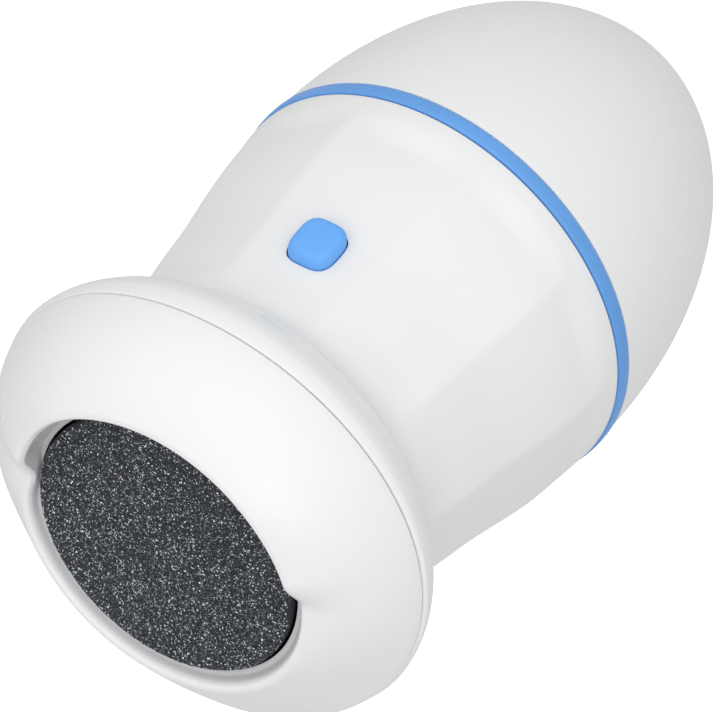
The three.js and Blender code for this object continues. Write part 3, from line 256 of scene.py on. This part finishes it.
def carve(piece, cutters, sharp=SHARP_ANGLE):
    """Cuts the cutters out of a piece and removes them."""
    for cutter in cutters:
        cut = piece.modifiers.new(cutter.name, "BOOLEAN")
        cut.operation = "DIFFERENCE"
        cut.solver = "EXACT"
        cut.object = cutter
    bpy.context.view_layer.update()
    result = piece.evaluated_get(bpy.context.evaluated_depsgraph_get())
    mesh = bpy.data.meshes.new_from_object(result)
    piece.modifiers.clear()
    piece.data = mesh
    for cutter in cutters:
        bpy.data.objects.remove(cutter)
    mesh.shade_smooth()
    mesh.set_sharp_from_angle(angle=math.radians(sharp))
    return piece


def soften(piece, width, segments=2, angle=40):
    """A small bevel on the hard edges."""
    bevel = piece.modifiers.new("soft_edges", "BEVEL")
    bevel.width = width * MM
    bevel.segments = segments
    bevel.limit_method = "ANGLE"
    bevel.angle_limit = math.radians(angle)
    bevel.harden_normals = False
    return piece


def rounded_outline(width, length, corner, corner_steps=8):
    """Points of a rounded rectangle in its own plane, anticlockwise."""
    points = []
    for k, (sx, sz) in enumerate([(1, -1), (1, 1), (-1, 1), (-1, -1)]):
        for i in range(corner_steps + 1):
            angle = math.radians(90 * (k - 1) + 90 * i / corner_steps)
            x = sx * (width / 2 - corner) + corner * math.cos(angle)
            z = sz * (length / 2 - corner) + corner * math.sin(angle)
            points.append((x, z))
    return points


def squircle(width, length, power=3.2, count=64):
    """Points of a soft square in its own plane, anticlockwise."""
    points = []
    for i in range(count):
        angle = 2 * math.pi * i / count
        c, s = math.cos(angle), math.sin(angle)
        reach = (abs(2 * c / width) ** power + abs(2 * s / length) ** power) ** (-1 / power)
        points.append((reach * c, reach * s))
    return points


def plug(levels, height, x=0.0):
    """A closed plug along Y: levels are (y, outline) from one end to the other, with equal counts."""
    points, faces = [], []
    count = len(levels[0][1])
    for y, outline in levels:
        points += [(x + px, y, height + pz) for px, pz in outline]
    for k in range(len(levels) - 1):
        for i in range(count):
            j = (i + 1) % count
            low, high = k * count, (k + 1) * count
            faces.append((low + i, low + j, high + j, high + i))
    faces.append(tuple(range(count)))
    last = (len(levels) - 1) * count
    faces.append(tuple(last + i for i in range(count)))
    return points, faces


def plug_piece(name, levels, height, x=0.0, sharp=SHARP_ANGLE):
    points, faces = plug(levels, height, x)
    return finish_mesh(name, mesh_from(name, points, faces), sharp)


# ---------------------------------------------------------------- materials


class Nodes:
    """A material's node tree with one Principled shader, fed by noise in object coordinates."""

    def __init__(self, name):
        self.material = bpy.data.materials.new(name)
        self.material.use_nodes = True
        self.tree = self.material.node_tree
        self.shader = self.tree.nodes["Principled BSDF"]
        self.place = self.tree.nodes.new("ShaderNodeTexCoord").outputs["Object"]

    def node(self, kind, **values):
        made = self.tree.nodes.new(kind)
        for key, value in values.items():
            if hasattr(made, key) and key not in made.inputs:
                setattr(made, key, value)
            else:
                made.inputs[key].default_value = value
        return made

    def link(self, source, target):
        self.tree.links.new(source, target)

    def noise(self, scale, detail=3.0, roughness=0.55):
        made = self.node("ShaderNodeTexNoise", Scale=scale, Detail=detail, Roughness=roughness)
        self.link(self.place, made.inputs["Vector"])
        return made.outputs["Fac"]

    def cells(self, scale, feature="F1"):
        made = self.node("ShaderNodeTexVoronoi", feature=feature, Scale=scale)
        self.link(self.place, made.inputs["Vector"])
        return made.outputs["Distance"]

    def spread(self, source, low, high, source_low=0.3, source_high=0.7):
        made = self.tree.nodes.new("ShaderNodeMapRange")
        made.inputs["From Min"].default_value = source_low
        made.inputs["From Max"].default_value = source_high
        made.inputs["To Min"].default_value = low
        made.inputs["To Max"].default_value = high
        self.link(source, made.inputs["Value"])
        return made.outputs["Result"]

    def ramp(self, source, stops, interpolation="LINEAR"):
        made = self.tree.nodes.new("ShaderNodeValToRGB")
        made.color_ramp.interpolation = interpolation
        while len(made.color_ramp.elements) < len(stops):
            made.color_ramp.elements.new(1.0)
        for element, (at, colour) in zip(made.color_ramp.elements, stops):
            element.position = at
            element.color = (*colour, 1.0)
        self.link(source, made.inputs["Fac"])
        return made.outputs["Color"]

    def blend(self, source, colour, attribute):
        """The source colour, turning into another one where a stored attribute is 1."""
        made = self.node("ShaderNodeMix", data_type="RGBA")
        share = self.node("ShaderNodeAttribute", attribute_name=attribute)
        self.link(share.outputs["Fac"], made.inputs[0])
        self.link(source, made.inputs[6])
        made.inputs[7].default_value = (*colour, 1.0)
        return made.outputs[2]

    def bump(self, source, strength, distance, below=None):
        made = self.node("ShaderNodeBump", Strength=strength, Distance=distance)
        self.link(source, made.inputs["Height"])
        if below is not None:
            self.link(below, made.inputs["Normal"])
        return made.outputs["Normal"]


def shade(colour, factor):
    return tuple(min(1.0, c * factor) for c in colour)


def plastic(
    name, colour, rough_low, rough_high, grain=0.00001, variation=0.03, coat=0.0, waves=0.00002, painted_shade=None
):
    """Moulded plastic: faint flow marks in the colour, uneven gloss, and a fine skin texture."""
    n = Nodes(name)
    drift = n.noise(38.0, 2.0)
    tint = n.ramp(drift, [(0.32, shade(colour, 1 - variation)), (0.68, shade(colour, 1 + variation))])
    # Painted shade: where the stored attribute is 1 the colour turns to the given grey, standing in for shade
    # that falls on that part.
    if painted_shade:
        tint = n.blend(tint, painted_shade, "painted_shade")
    n.link(tint, n.shader.inputs["Base Color"])
    n.link(n.spread(n.noise(140.0, 4.0), rough_low, rough_high), n.shader.inputs["Roughness"])
    swell = n.bump(n.noise(90.0, 1.0), 0.1, waves)
    skin = n.bump(n.noise(3600.0, 2.0), 0.2, grain, swell)
    n.link(skin, n.shader.inputs["Normal"])
    n.shader.inputs["Coat Weight"].default_value = coat
    n.shader.inputs["Coat Roughness"].default_value = 0.12
    n.shader.inputs["Specular IOR Level"].default_value = 0.5
    return n.material


def metal(name, colour, rough_low, rough_high):
    """Plated or turned metal: a smeared grain, with darker patches where it is duller."""
    n = Nodes(name)
    stretch = n.node("ShaderNodeMapping")
    stretch.inputs["Scale"].default_value = (1.0, 1.0, 14.0)
    n.link(n.place, stretch.inputs["Vector"])
    grain = n.node("ShaderNodeTexNoise", Scale=900.0, Detail=4.0)
    n.link(stretch.outputs["Vector"], grain.inputs["Vector"])
    n.link(n.ramp(n.noise(220.0, 4.0), [(0.3, shade(colour, 0.82)), (0.7, colour)]),
           n.shader.inputs["Base Color"])
    n.link(n.spread(grain.outputs["Fac"], rough_low, rough_high), n.shader.inputs["Roughness"])
    n.link(n.bump(grain.outputs["Fac"], 0.3, 0.00001), n.shader.inputs["Normal"])
    n.shader.inputs["Metallic"].default_value = 1.0
    return n.material


def speckled(name, dark, light, scale, roughness, depth, cut=0.5):
    """A dull body with fine light specks: sintered ferrite, foam walls, solder mask."""
    n = Nodes(name)
    specks = n.noise(scale, 5.0, 0.65)
    n.link(n.ramp(specks, [(cut - 0.12, dark), (cut + 0.2, light)]), n.shader.inputs["Base Color"])
    gloss = n.spread(n.noise(scale / 3, 3.0), roughness - 0.12, roughness + 0.08)
    n.link(gloss, n.shader.inputs["Roughness"])
    n.link(n.bump(specks, 0.6, depth), n.shader.inputs["Normal"])
    return n.material


WHITE = (0.86, 0.865, 0.87)
BLUE = (0.122, 0.352, 0.775)
BUTTON_BLUE = (0.135, 0.42, 0.95)

FINISH = {
    "white_shell": plastic("white_shell", WHITE, 0.24, 0.3, 0.000004, 0.006, 0.2, 0.000004),
    "blue_plastic": plastic("blue_plastic", BLUE, 0.34, 0.46, variation=0.05),
    "dark_plastic": plastic("dark_plastic", (0.03, 0.032, 0.035), 0.45, 0.62, 0.00003, 0.12),
    "grey_plastic": plastic("grey_plastic", (0.35, 0.36, 0.38), 0.42, 0.58, 0.00003, 0.06),
    "sponge_foam": speckled("sponge_foam", (0.02, 0.021, 0.024), (0.11, 0.112, 0.12), 1500.0, 0.9, 0.0002),
    "steel": metal("steel", (0.62, 0.62, 0.63), 0.22, 0.42),
    "brass": metal("brass", (0.78, 0.6, 0.3), 0.22, 0.4),
    "copper": metal("copper", (0.72, 0.38, 0.2), 0.25, 0.45),
    "ferrite": speckled("ferrite", (0.03, 0.03, 0.032), (0.09, 0.09, 0.095), 2600.0, 0.7, 0.00004),
    "board_green": speckled("board_green", (0.022, 0.13, 0.055), (0.04, 0.2, 0.09), 700.0, 0.4, 0.00002),
    "cell_sleeve": plastic("cell_sleeve", (0.03, 0.2, 0.5), 0.25, 0.4, variation=0.08),
    "seal_rubber": plastic("seal_rubber", (0.25, 0.27, 0.3), 0.6, 0.8, 0.00002, 0.06),
    "light_lens": plastic("light_lens", (0.85, 0.12, 0.06), 0.08, 0.2, variation=0.05, coat=0.5),
    "lead_red": plastic("lead_red", (0.55, 0.02, 0.02), 0.35, 0.5, variation=0.1),
    "lead_black": plastic("lead_black", (0.01, 0.01, 0.012), 0.35, 0.5, variation=0.2),
}
BUTTON_FINISH = plastic("button_plastic", BUTTON_BLUE, 0.38, 0.5, 0.00002, 0.03)
# Painted shade: the grey that the cap's inner wall is given for the shade that falls there.
CAP_PAINTED_SHADE = (0.62, 0.625, 0.635)
CAP_FINISH = plastic("cap_shell", WHITE, 0.24, 0.3, 0.000004, 0.006, 0.2, 0.000004, CAP_PAINTED_SHADE)


def grit_base():
    """The dark bonded coat between the crystals."""
    n = Nodes("grit_base")
    crumbs = n.cells(4200.0)
    tone = n.noise(5200.0, 4.0, 0.7)
    stops = [(0.35, (0.012, 0.0135, 0.017)), (0.62, (0.035, 0.04, 0.047)), (0.8, (0.14, 0.15, 0.17))]
    n.link(n.ramp(tone, stops), n.shader.inputs["Base Color"])
    n.shader.inputs["Specular IOR Level"].default_value = 0.25
    n.link(n.spread(n.noise(3000.0, 2.0), 0.45, 0.8), n.shader.inputs["Roughness"])
    n.link(n.bump(crumbs, 0.9, 0.00012), n.shader.inputs["Normal"])
    return n.material


def grit_crystals():
    """Crystals whose tone is stored on each one: most are dark, a few are nearly white."""
    n = Nodes("grit_crystals")
    tone = n.node("ShaderNodeAttribute", attribute_name="tone")
    stops = [
        (0.0, (0.01, 0.0115, 0.015)),
        (0.45, (0.035, 0.039, 0.046)),
        (0.75, (0.12, 0.13, 0.15)),
        (0.88, (0.42, 0.44, 0.48)),
        (0.96, (0.95, 0.97, 1.0)),
    ]
    n.link(n.ramp(tone.outputs["Fac"], stops), n.shader.inputs["Base Color"])
    n.shader.inputs["Specular IOR Level"].default_value = 0.35
    n.link(n.spread(n.noise(2400.0, 2.0), 0.2, 0.5), n.shader.inputs["Roughness"])
    n.link(n.bump(n.noise(9000.0, 2.0), 0.5, 0.00003), n.shader.inputs["Normal"])
    return n.material


def dress(piece, body, slot, *nodes, finish=None):
    """Gives a piece its finish, from its slot unless one is given, and its body, and hides the CAD nodes that
    it stands for.
    """
    piece.data.materials.clear()
    piece.data.materials.append(finish or FINISH[slot])
    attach(piece, body)
    if nodes:
        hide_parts(*nodes)
    return piece


# ---------------------------------------------------------------- outer surfaces


def spline_through(points, steps):
    """A smooth curve through points, with continuous curvature, by chord length."""
    points = np.array(points, float)
    chords = np.linalg.norm(np.diff(points, axis=0), axis=1)
    at = np.concatenate([[0], np.cumsum(np.sqrt(chords))])
    gaps = np.diff(at)
    count = len(points)
    system = np.zeros((count, count))
    goal = np.zeros((count, 2))
    system[0, 0] = system[-1, -1] = 1
    for i in range(1, count - 1):
        system[i, i - 1 : i + 2] = gaps[i - 1], 2 * (gaps[i - 1] + gaps[i]), gaps[i]
        goal[i] = 6 * ((points[i + 1] - points[i]) / gaps[i] - (points[i] - points[i - 1]) / gaps[i - 1])
    bend = np.linalg.solve(system, goal)
    curve = []
    for t in np.linspace(0, at[-1], steps + 1):
        i = min(int(np.searchsorted(at, t, side="right")) - 1, count - 2)
        a, b, h = at[i + 1] - t, t - at[i], gaps[i]
        curve.append(
            (bend[i] * a**3 + bend[i + 1] * b**3) / (6 * h)
            + (points[i] / h - bend[i] * h / 6) * a
            + (points[i + 1] / h - bend[i + 1] * h / 6) * b
        )
    return np.array(curve)


BODY_CURVE = spline_through(BODY_POINTS, 110)


def facet_share(height):
    rise = smoothstep(height, FACET_START, FACET_FULL)
    return FACET_DEPTH * rise * (1 - smoothstep(height, FACET_FADE, FACET_END))


def facet_factor(degrees, share):
    """Radius of a soft-cornered decagon against its round, blended by share."""
    facet = 360 / FACETS
    offset = degrees - facet * round(degrees / facet)
    reach = sum(
        max(0.0, math.cos(math.radians(offset + side * facet))) ** FACET_SOFTNESS for side in (-1, 0, 1)
    ) ** (-1 / FACET_SOFTNESS)
    straight = math.cos(math.radians(facet / 2)) * reach
    return 1 - share * (1 - straight)


FACET_SHARES = [facet_share(height) for _, height in BODY_CURVE]


def seam_height(degrees):
    return SEAM + SEAM_WAVE * math.cos(2 * math.radians(degrees))


def off_front(degrees):
    return abs(degrees - 360 if degrees > 180 else degrees)


def rim_top(degrees):
    away = off_front(degrees)
    raised = RIM_RAISED - RIM_FALL * smoothstep(away, RIM_FALL_START, RIM_FALL_END)
    share = 1 - smoothstep(away, RIM_STEP_START, RIM_STEP_END)
    return DISC_EDGE + RIM_LOW + (raised - RIM_LOW) * share


def rim_radius(degrees):
    away = off_front(degrees)
    flare = RIM_FLARE * (1 - smoothstep(away, RIM_FLARE_START, RIM_FLARE_END))
    swell = math.exp(-(((away - SWELL_ANGLE) / SWELL_WIDTH) ** 2))
    return RIM_RADIUS + flare - (SWELL_LEFT if degrees < 180 else SWELL_RIGHT) * swell


# ---------------------------------------------------------------- rear shell and ring


def egg_points(inset, bottom, top, steps):
    length = EGG_LENGTH - inset
    start = math.asin((EGG_CENTRE - bottom) / length)
    end = math.asin((EGG_CENTRE - top) / length)
    points = []
    for i in range(steps + 1):
        angle = start + (end - start) * i / steps
        points.append(((EGG_RADIUS - inset) * math.cos(angle), EGG_CENTRE - length * math.sin(angle)))
    return points


FOOT_ROUND, LIP_ROUND = 0.55, 0.35


def rear_shell():
    top = RING_LOW.z - SEAM_GAP
    outside = egg_points(0, FOOT_ROUND, top - LIP_ROUND, 96)
    inside = egg_points(WALL, FLOOR_HEIGHT, top, 40)[::-1]
    foot = [(0.0, 0.0), (STAND_RADIUS - 0.7, 0.0), (STAND_RADIUS - 0.1, 0.05), (STAND_RADIUS + 0.6, 0.22)]
    lip = [(EGG_RADIUS - 0.08, top - 0.12), (EGG_RADIUS - 0.34, top)]
    outline = foot + outside + lip + inside + [(0.0, FLOOR_HEIGHT)]
    return turned("shell_rear", lambda degrees: outline, FINE_TURNS // 2)


dress(rear_shell(), "housing", "white_shell", "rear_housing")


def accent_ring():
    inner = RING_RADIUS - WALL - GAP
    low, high = RING_LOW.z, RING_HIGH.z
    outline = rounded(
        [
            (inner, low, 0.2),
            (RING_RADIUS - 0.08, low, 0.5),
            (RING_RADIUS, (low + high) / 2, 0),
            (RING_RADIUS - 0.08, high, 0.5),
            (inner, high, 0.2),
        ],
        5,
    )
    return turned("ring_accent", lambda degrees: outline, FINE_TURNS // 2)


dress(accent_ring(), "housing", "blue_plastic", "accent_ring")

# ---------------------------------------------------------------- front shell

LEDGE_BOTTOM, LEDGE_TOP, LEDGE_RADIUS = 95.7, 97.4, 23.4
VENTS, VENT_WIDTH, VENT_HEIGHT, VENT_PITCH, VENT_LEVEL = 5, 1.6, 3.4, 3.4, 100.9
BUTTON_CENTRE = (BUTTON_LOW + BUTTON_HIGH) / 2
BUTTON_GAP = 0.2
BUTTON_SLOPE = 0.15
BUTTON_FRONT = -34.6
BUTTON_STEPS = 16
BUTTON_DOME, BUTTON_EDGE, BUTTON_FLAT = 0.3, 1.2, 0.7
BUTTON_SKIRT = 5.1
BUTTON_STEM = 3.6
INLET_WIDTH, INLET_HEIGHT, INLET_CORNER = 8.6, 3.7, 1.2
LAMP_HOLE = 2.6
BUTTON_CUT, INLET_CUT, VENT_CUT = (-45, -25), (30, 42), (25, 36)


def front_outline(degrees):
    seam = seam_height(degrees) - SEAM_GAP
    factors = [facet_factor(degrees, share) for share in FACET_SHARES]
    outside = [(r * f, z) for (r, z), f in zip(BODY_CURVE, factors)]
    low = outside[0][1]
    inside = [(r - WALL, z) for r, z in outside[::2]][::-1]
    above = [p for p in inside if p[1] > LEDGE_TOP + 0.4]
    below = [p for p in inside if p[1] < LEDGE_BOTTOM - 0.4]
    ledge_wall = below[0][0]
    return [
        (outside[0][0] - 0.3, low - 0.1),
        (outside[0][0] - 0.08, low - 0.02),
        *outside[1:],
        *rounded(
            [
                (outside[-1][0], outside[-1][1], 0),
                (SEAM_RADIUS + 0.06, seam, 0.35),
                (FLARE_INNER, seam, 0.25),
                above[0] + (0,),
            ],
            3,
        )[1:-1],
        *above,
        (ledge_wall - 0.4, LEDGE_TOP),
        (LEDGE_RADIUS, LEDGE_TOP),
        (LEDGE_RADIUS, LEDGE_BOTTOM),
        (ledge_wall, LEDGE_BOTTOM),
        *below,
        (outside[0][0] - WALL, low - 0.1),
    ]


def front_shell():
    shell = turned("shell_front", front_outline, FINE_TURNS)
    width = BUTTON_HIGH.x - BUTTON_LOW.x + 2 * BUTTON_GAP
    length = BUTTON_HIGH.z - BUTTON_LOW.z + 2 * BUTTON_GAP
    opening = squircle(width, length)
    cutters = [plug_piece("cut_button", [(y, opening) for y in BUTTON_CUT], BUTTON_CENTRE.z)]
    inlet = rounded_outline(INLET_WIDTH, INLET_HEIGHT, INLET_CORNER)
    middle = (SOCKET_LOW + SOCKET_HIGH) / 2
    cutters.append(plug_piece("cut_inlet", [(y, inlet) for y in INLET_CUT], middle.z))
    lamp = (LIGHT_LOW + LIGHT_HIGH) / 2
    hole = rounded_outline(LAMP_HOLE, LAMP_HOLE, LAMP_HOLE / 2 - 0.001, 6)
    cutters.append(plug_piece("cut_light", [(y, hole) for y in INLET_CUT], lamp.z, lamp.x))
    slot = rounded_outline(VENT_WIDTH, VENT_HEIGHT, VENT_WIDTH / 2 - 0.02, 5)
    for i in range(VENTS):
        x = (i - (VENTS - 1) / 2) * VENT_PITCH
        cutters.append(plug_piece(f"cut_vent_{i}", [(y, slot) for y in VENT_CUT], VENT_LEVEL, x))
    return carve(shell, cutters)


dress(front_shell(), "housing", "white_shell", "front_housing")

# ---------------------------------------------------------------- nozzle cap

CAP_STEPS = 30
INSIDE_STEPS = 8
INSIDE_HIGH, INSIDE_LOW = 0.75, 0.25
WALL_REACH = 0.1


def cap_face(degrees, t):
    """The outer face of the cap at a share of the way from the seam to the rim."""
    share = 1 - smoothstep(off_front(degrees), FACE_STEP_START, FACE_STEP_END)
    level = DISC_EDGE + RIM_LOW + (RIM_RAISED - RIM_LOW) * share
    bottom = np.array((SEAM_RADIUS, seam_height(degrees) + SEAM_STEP))
    along = np.array((rim_radius(degrees) + RIM_LIP, level)) - bottom
    outward = np.array((along[1], -along[0])) / np.linalg.norm(along)
    fade = smoothstep(off_front(degrees), BULGE_FADE_START, BULGE_FADE_END)
    bulge = CAP_BULGE + (CAP_BULGE_FAR - CAP_BULGE) * fade
    step = np.array((0, rim_top(degrees) - level)) * t**FACE_STEP_POWER
    return bottom + along * t + outward * bulge * 4 * t * (1 - t) + step


def cap_outline(degrees):
    seam = seam_height(degrees)
    rim, top = rim_radius(degrees), rim_top(degrees)
    shelf = max(LIP_RADIUS + SHELF_WIDTH, min(SHELF_RADIUS, rim - WALL_DRAFT))
    outside = [tuple(cap_face(degrees, i / CAP_STEPS)) for i in range(1, CAP_STEPS)]
    lip = rounded(
        [
            (*outside[-1], 0),
            (rim + RIM_LIP - 0.2, top + 0.05, 0.5),
            (rim + RIM_LIP / 2 - 0.25, top + RIM_CREST + 0.05, 0.7),
            (rim - 0.02, top - RIM_ROUND + 0.1, 1.0),
            (shelf, SHELF_LEVEL, 0.5),
            (LIP_RADIUS, SHELF_LEVEL, 0.12),
            (LIP_RADIUS, LIP_BOTTOM, 0.15),
            (COLLAR_RADIUS, COLLAR_TOP, 0.3),
            (COLLAR_RADIUS, COLLAR_BOTTOM, 0.3),
            (COLLAR_RADIUS + COLLAR_WALL, COLLAR_BOTTOM, 0),
        ],
        5,
    )[1:]
    fall = (INSIDE_HIGH - INSIDE_LOW) / INSIDE_STEPS
    inside = [cap_face(degrees, INSIDE_HIGH - fall * i) - CAP_INSET for i in range(INSIDE_STEPS + 1)]
    return [
        (SKIRT_OUTER, CAP_BOTTOM + 0.3),
        (SKIRT_OUTER, seam),
        (SEAM_RADIUS - SEAM_STEP - 0.25, seam),
        (SEAM_RADIUS - SEAM_STEP + 0.05, seam + 0.04),
        (SEAM_RADIUS - 0.06, seam + 0.16),
        *outside,
        *lip,
        *[tuple(p) for p in inside],
        (SKIRT_OUTER - SKIRT_WALL, seam + CAP_INSET),
        (SKIRT_OUTER - SKIRT_WALL, CAP_BOTTOM + 0.3),
        (SKIRT_OUTER - SKIRT_WALL + 0.3, CAP_BOTTOM),
        (SKIRT_OUTER - 0.3, CAP_BOTTOM),
    ]


def nozzle_cap():
    """The cap, with painted shade on its inner wall: the white turns grey where that wall lies in shade."""
    piece = turned("cap_nozzle", cap_outline, FINE_TURNS)
    wall_shade = []
    for vertex in piece.data.vertices:
        x, y, z = vertex.co / MM
        limit = rim_radius(math.degrees(math.atan2(x, -y)) % 360) + WALL_REACH
        wall_shade.append(1.0 if math.hypot(x, y) < limit and z > LIP_BOTTOM - WALL_REACH else 0.0)
    stored = piece.data.attributes.new("painted_shade", "FLOAT", "POINT")
    stored.data.foreach_set("value", wall_shade)
    return piece


dress(nozzle_cap(), "cap", "white_shell", "nozzle_cap", finish=CAP_FINISH)

# ---------------------------------------------------------------- button


def power_button():
    """A low dome with round edges on a straight skirt and a stem; the dome leans with the grip."""
    width, length = BUTTON_HIGH.x - BUTTON_LOW.x, BUTTON_HIGH.z - BUTTON_LOW.z
    levels = []
    for i in range(1, BUTTON_STEPS + 1):
        share = math.sin(math.pi / 2 * i / BUTTON_STEPS)
        edge = max(0.0, share - BUTTON_FLAT) / (1 - BUTTON_FLAT)
        drop = BUTTON_DOME * share**2 + BUTTON_EDGE * (1 - math.sqrt(1 - edge**2))
        levels.append((BUTTON_FRONT + drop, squircle(width * share, length * share)))
    whole = squircle(width, length)
    levels.append((BUTTON_FRONT + BUTTON_SKIRT, whole))
    stem = squircle(BUTTON_STEM, BUTTON_STEM, 2.0)
    levels.append((BUTTON_FRONT + BUTTON_SKIRT, stem))
    levels.append((BUTTON_HIGH.y, stem))
    points, faces = plug(levels, BUTTON_CENTRE.z)
    stem_start = BUTTON_FRONT + BUTTON_SKIRT + 0.1
    leaning = [
        (x, y + (BUTTON_SLOPE * (z - BUTTON_CENTRE.z) if y < stem_start else 0), z) for x, y, z in points
    ]
    return finish_mesh("button_power", mesh_from("button_power", leaning, faces), 50)


dress(power_button(), "button", "blue_plastic", "power_button", finish=BUTTON_FINISH)

# ---------------------------------------------------------------- abrasive disc

GRAINS = 46000
GRAIN_SEED = 41
GRAIN_BIAS = 1.8
GRAIN_FLATNESS = 0.7
GRAIN_REACH = 0.7
GRAIN_LOW, GRAIN_HIGH = 0.13, 0.36
EDGE_BAND = 0.08
EDGE_ROUND, EDGE_DROP = 0.6, 0.7


def disc_height(radius):
    crown = DISC_HIGH.z - DISC_EDGE
    share = min(1.0, radius / (DISC_RADIUS - 0.4))
    past = max(0.0, radius - (DISC_RADIUS - EDGE_ROUND)) / EDGE_ROUND
    return DISC_EDGE + crown * (1 - share * share) - EDGE_DROP * past * past


def abrasive_disc():
    bottom = DISC_LOW.z
    top = [(r, disc_height(r)) for r in np.linspace(0, DISC_RADIUS - 0.9, 60)][::-1]
    edge = [
        (DISC_RADIUS - 1.0, bottom),
        (DISC_RADIUS - 0.3, bottom + 0.3),
        (DISC_RADIUS, bottom + 0.9),
        (DISC_RADIUS, DISC_EDGE - 0.75),
        (DISC_RADIUS - 0.08, DISC_EDGE - 0.42),
        (DISC_RADIUS - 0.3, DISC_EDGE - 0.12),
        (DISC_RADIUS - 0.6, DISC_EDGE + 0.03),
    ]
    outline = [(0.0, bottom)] + edge + top
    return turned("disc_abrasive", lambda degrees: outline, FINE_TURNS // 2)


def grit_grains():
    """Small irregular crystals, each a four-sided chip half sunk in the disc's face."""
    random = np.random.default_rng(GRAIN_SEED)
    radius = (DISC_RADIUS - EDGE_BAND) * np.sqrt(random.random(GRAINS))
    angle = random.random(GRAINS) * 2 * math.pi
    size = GRAIN_LOW + (GRAIN_HIGH - GRAIN_LOW) * random.random(GRAINS) ** GRAIN_BIAS
    tone = random.random(GRAINS)
    centre = np.stack([radius * np.cos(angle), radius * np.sin(angle)], 1)
    height = np.array([disc_height(r) for r in radius])
    corners = np.array([(1, 1, 1), (1, -1, -1), (-1, 1, -1), (-1, -1, 1)], float) / math.sqrt(3)
    sides = [(0, 1, 2), (0, 3, 1), (0, 2, 3), (1, 3, 2)]
    shape = corners[None] * (0.7 + 0.6 * random.random((GRAINS, 4, 1)))
    for first, second in ((0, 1), (1, 2), (0, 2)):
        turn = random.random(GRAINS) * 2 * math.pi
        c, s = np.cos(turn)[:, None], np.sin(turn)[:, None]
        u, v = shape[..., first].copy(), shape[..., second].copy()
        shape[..., first], shape[..., second] = u * c - v * s, u * s + v * c
    half = size[:, None] * GRAIN_REACH
    points = np.stack(
        [centre[:, :1] + shape[..., 0] * half, centre[:, 1:] + shape[..., 1] * half,
         height[:, None] + shape[..., 2] * half * GRAIN_FLATNESS], 2)
    faces = [tuple(g * 4 + k for k in side) for g in range(GRAINS) for side in sides]
    mesh = mesh_from("disc_grit", points.reshape(-1, 3), faces)
    stored = mesh.attributes.new("tone", "FLOAT", "POINT")
    stored.data.foreach_set("value", np.repeat(tone, 4).astype(np.float32))
    piece = bpy.data.objects.new("disc_grit", mesh)
    bpy.context.scene.collection.objects.link(piece)
    return piece


dress(abrasive_disc(), "grinding_head", "abrasive_grit", "abrasive_disc", finish=grit_base())
dress(grit_grains(), "grinding_head", "abrasive_grit", finish=grit_crystals())

# ---------------------------------------------------------------- the CAD nodes that stay

EDGE_WIDTH = 0.12

for node, piece in frame["nodes"].items():
    if piece.hide_render:
        continue
    slot = SLOT_OF[node]
    piece.data.materials.clear()
    piece.data.materials.append(FINISH[slot])
    piece.data.shade_smooth()
    piece.data.set_sharp_from_angle(angle=math.radians(35))
    soften(piece, EDGE_WIDTH)

# ---------------------------------------------------------------- floor and light

FLOOR_SIZE = 6.0
FLOOR_GREY = 0.9
FLOOR_GLOW = 0.8


def make_floor():
    mesh = bpy.data.meshes.new("floor")
    half = FLOOR_SIZE / 2
    corners = [(-half, -half, 0), (half, -half, 0), (half, half, 0), (-half, half, 0)]
    mesh.from_pydata(corners, [], [(0, 1, 2, 3)])
    floor = bpy.data.objects.new("floor", mesh)
    bpy.context.scene.collection.objects.link(floor)
    n = Nodes("floor")
    n.shader.inputs["Base Color"].default_value = (FLOOR_GREY, FLOOR_GREY, FLOOR_GREY, 1)
    n.shader.inputs["Roughness"].default_value = 0.9
    n.shader.inputs["Specular IOR Level"].default_value = 0.0
    n.shader.inputs["Emission Color"].default_value = (1, 1, 1, 1)
    n.shader.inputs["Emission Strength"].default_value = FLOOR_GLOW
    mesh.materials.append(n.material)
    floor.visible_diffuse = False
    floor.visible_glossy = False


make_floor()

SKY_SIDE, SKY_TILT, SKY_CURVE = 0.62, 0.36, 0.44
SKY_FRONT = Vector((-0.254, -0.758, 0.602)).normalized()


def studio_sky():
    """White surroundings: brightest in front of the button, dimmer at the sides, a little brighter behind."""
    world = bpy.data.worlds.new("studio")
    bpy.context.scene.world = world
    world.use_nodes = True
    tree = world.node_tree
    place = tree.nodes.new("ShaderNodeTexCoord").outputs["Generated"]
    facing = tree.nodes.new("ShaderNodeVectorMath")
    facing.operation = "DOT_PRODUCT"
    facing.inputs[1].default_value = SKY_FRONT
    tree.links.new(place, facing.inputs[0])
    bend = tree.nodes.new("ShaderNodeMath")
    bend.operation = "MULTIPLY_ADD"
    bend.inputs[1].default_value, bend.inputs[2].default_value = SKY_CURVE, SKY_TILT
    tree.links.new(facing.outputs["Value"], bend.inputs[0])
    level = tree.nodes.new("ShaderNodeMath")
    level.operation = "MULTIPLY_ADD"
    level.inputs[2].default_value = SKY_SIDE
    tree.links.new(bend.outputs["Value"], level.inputs[0])
    tree.links.new(facing.outputs["Value"], level.inputs[1])
    background = tree.nodes["Background"]
    background.inputs["Color"].default_value = (1, 1, 1, 1)
    tree.links.new(level.outputs["Value"], background.inputs["Strength"])


studio_sky()


def area_light(name, azimuth, elevation, distance, size, power):
    """A square soft box that faces the middle of the object."""
    data = bpy.data.lights.new(name, "AREA")
    data.size = size
    data.energy = power
    lamp = bpy.data.objects.new(name, data)
    bpy.context.scene.collection.objects.link(lamp)
    a, e = math.radians(azimuth), math.radians(elevation)
    out = Vector((math.sin(a) * math.cos(e), -math.cos(a) * math.cos(e), math.sin(e)))
    lamp.location = (cad_low + cad_high) / 2 + out * distance
    lamp.rotation_mode = "QUATERNION"
    lamp.rotation_quaternion = out.to_track_quat("Z", "Y")


area_light("key", azimuth=-70, elevation=55, distance=1.2, size=0.5, power=0.6)

scene = bpy.context.scene
scene.view_settings.view_transform = "Standard"
scene.view_settings.look = "None"
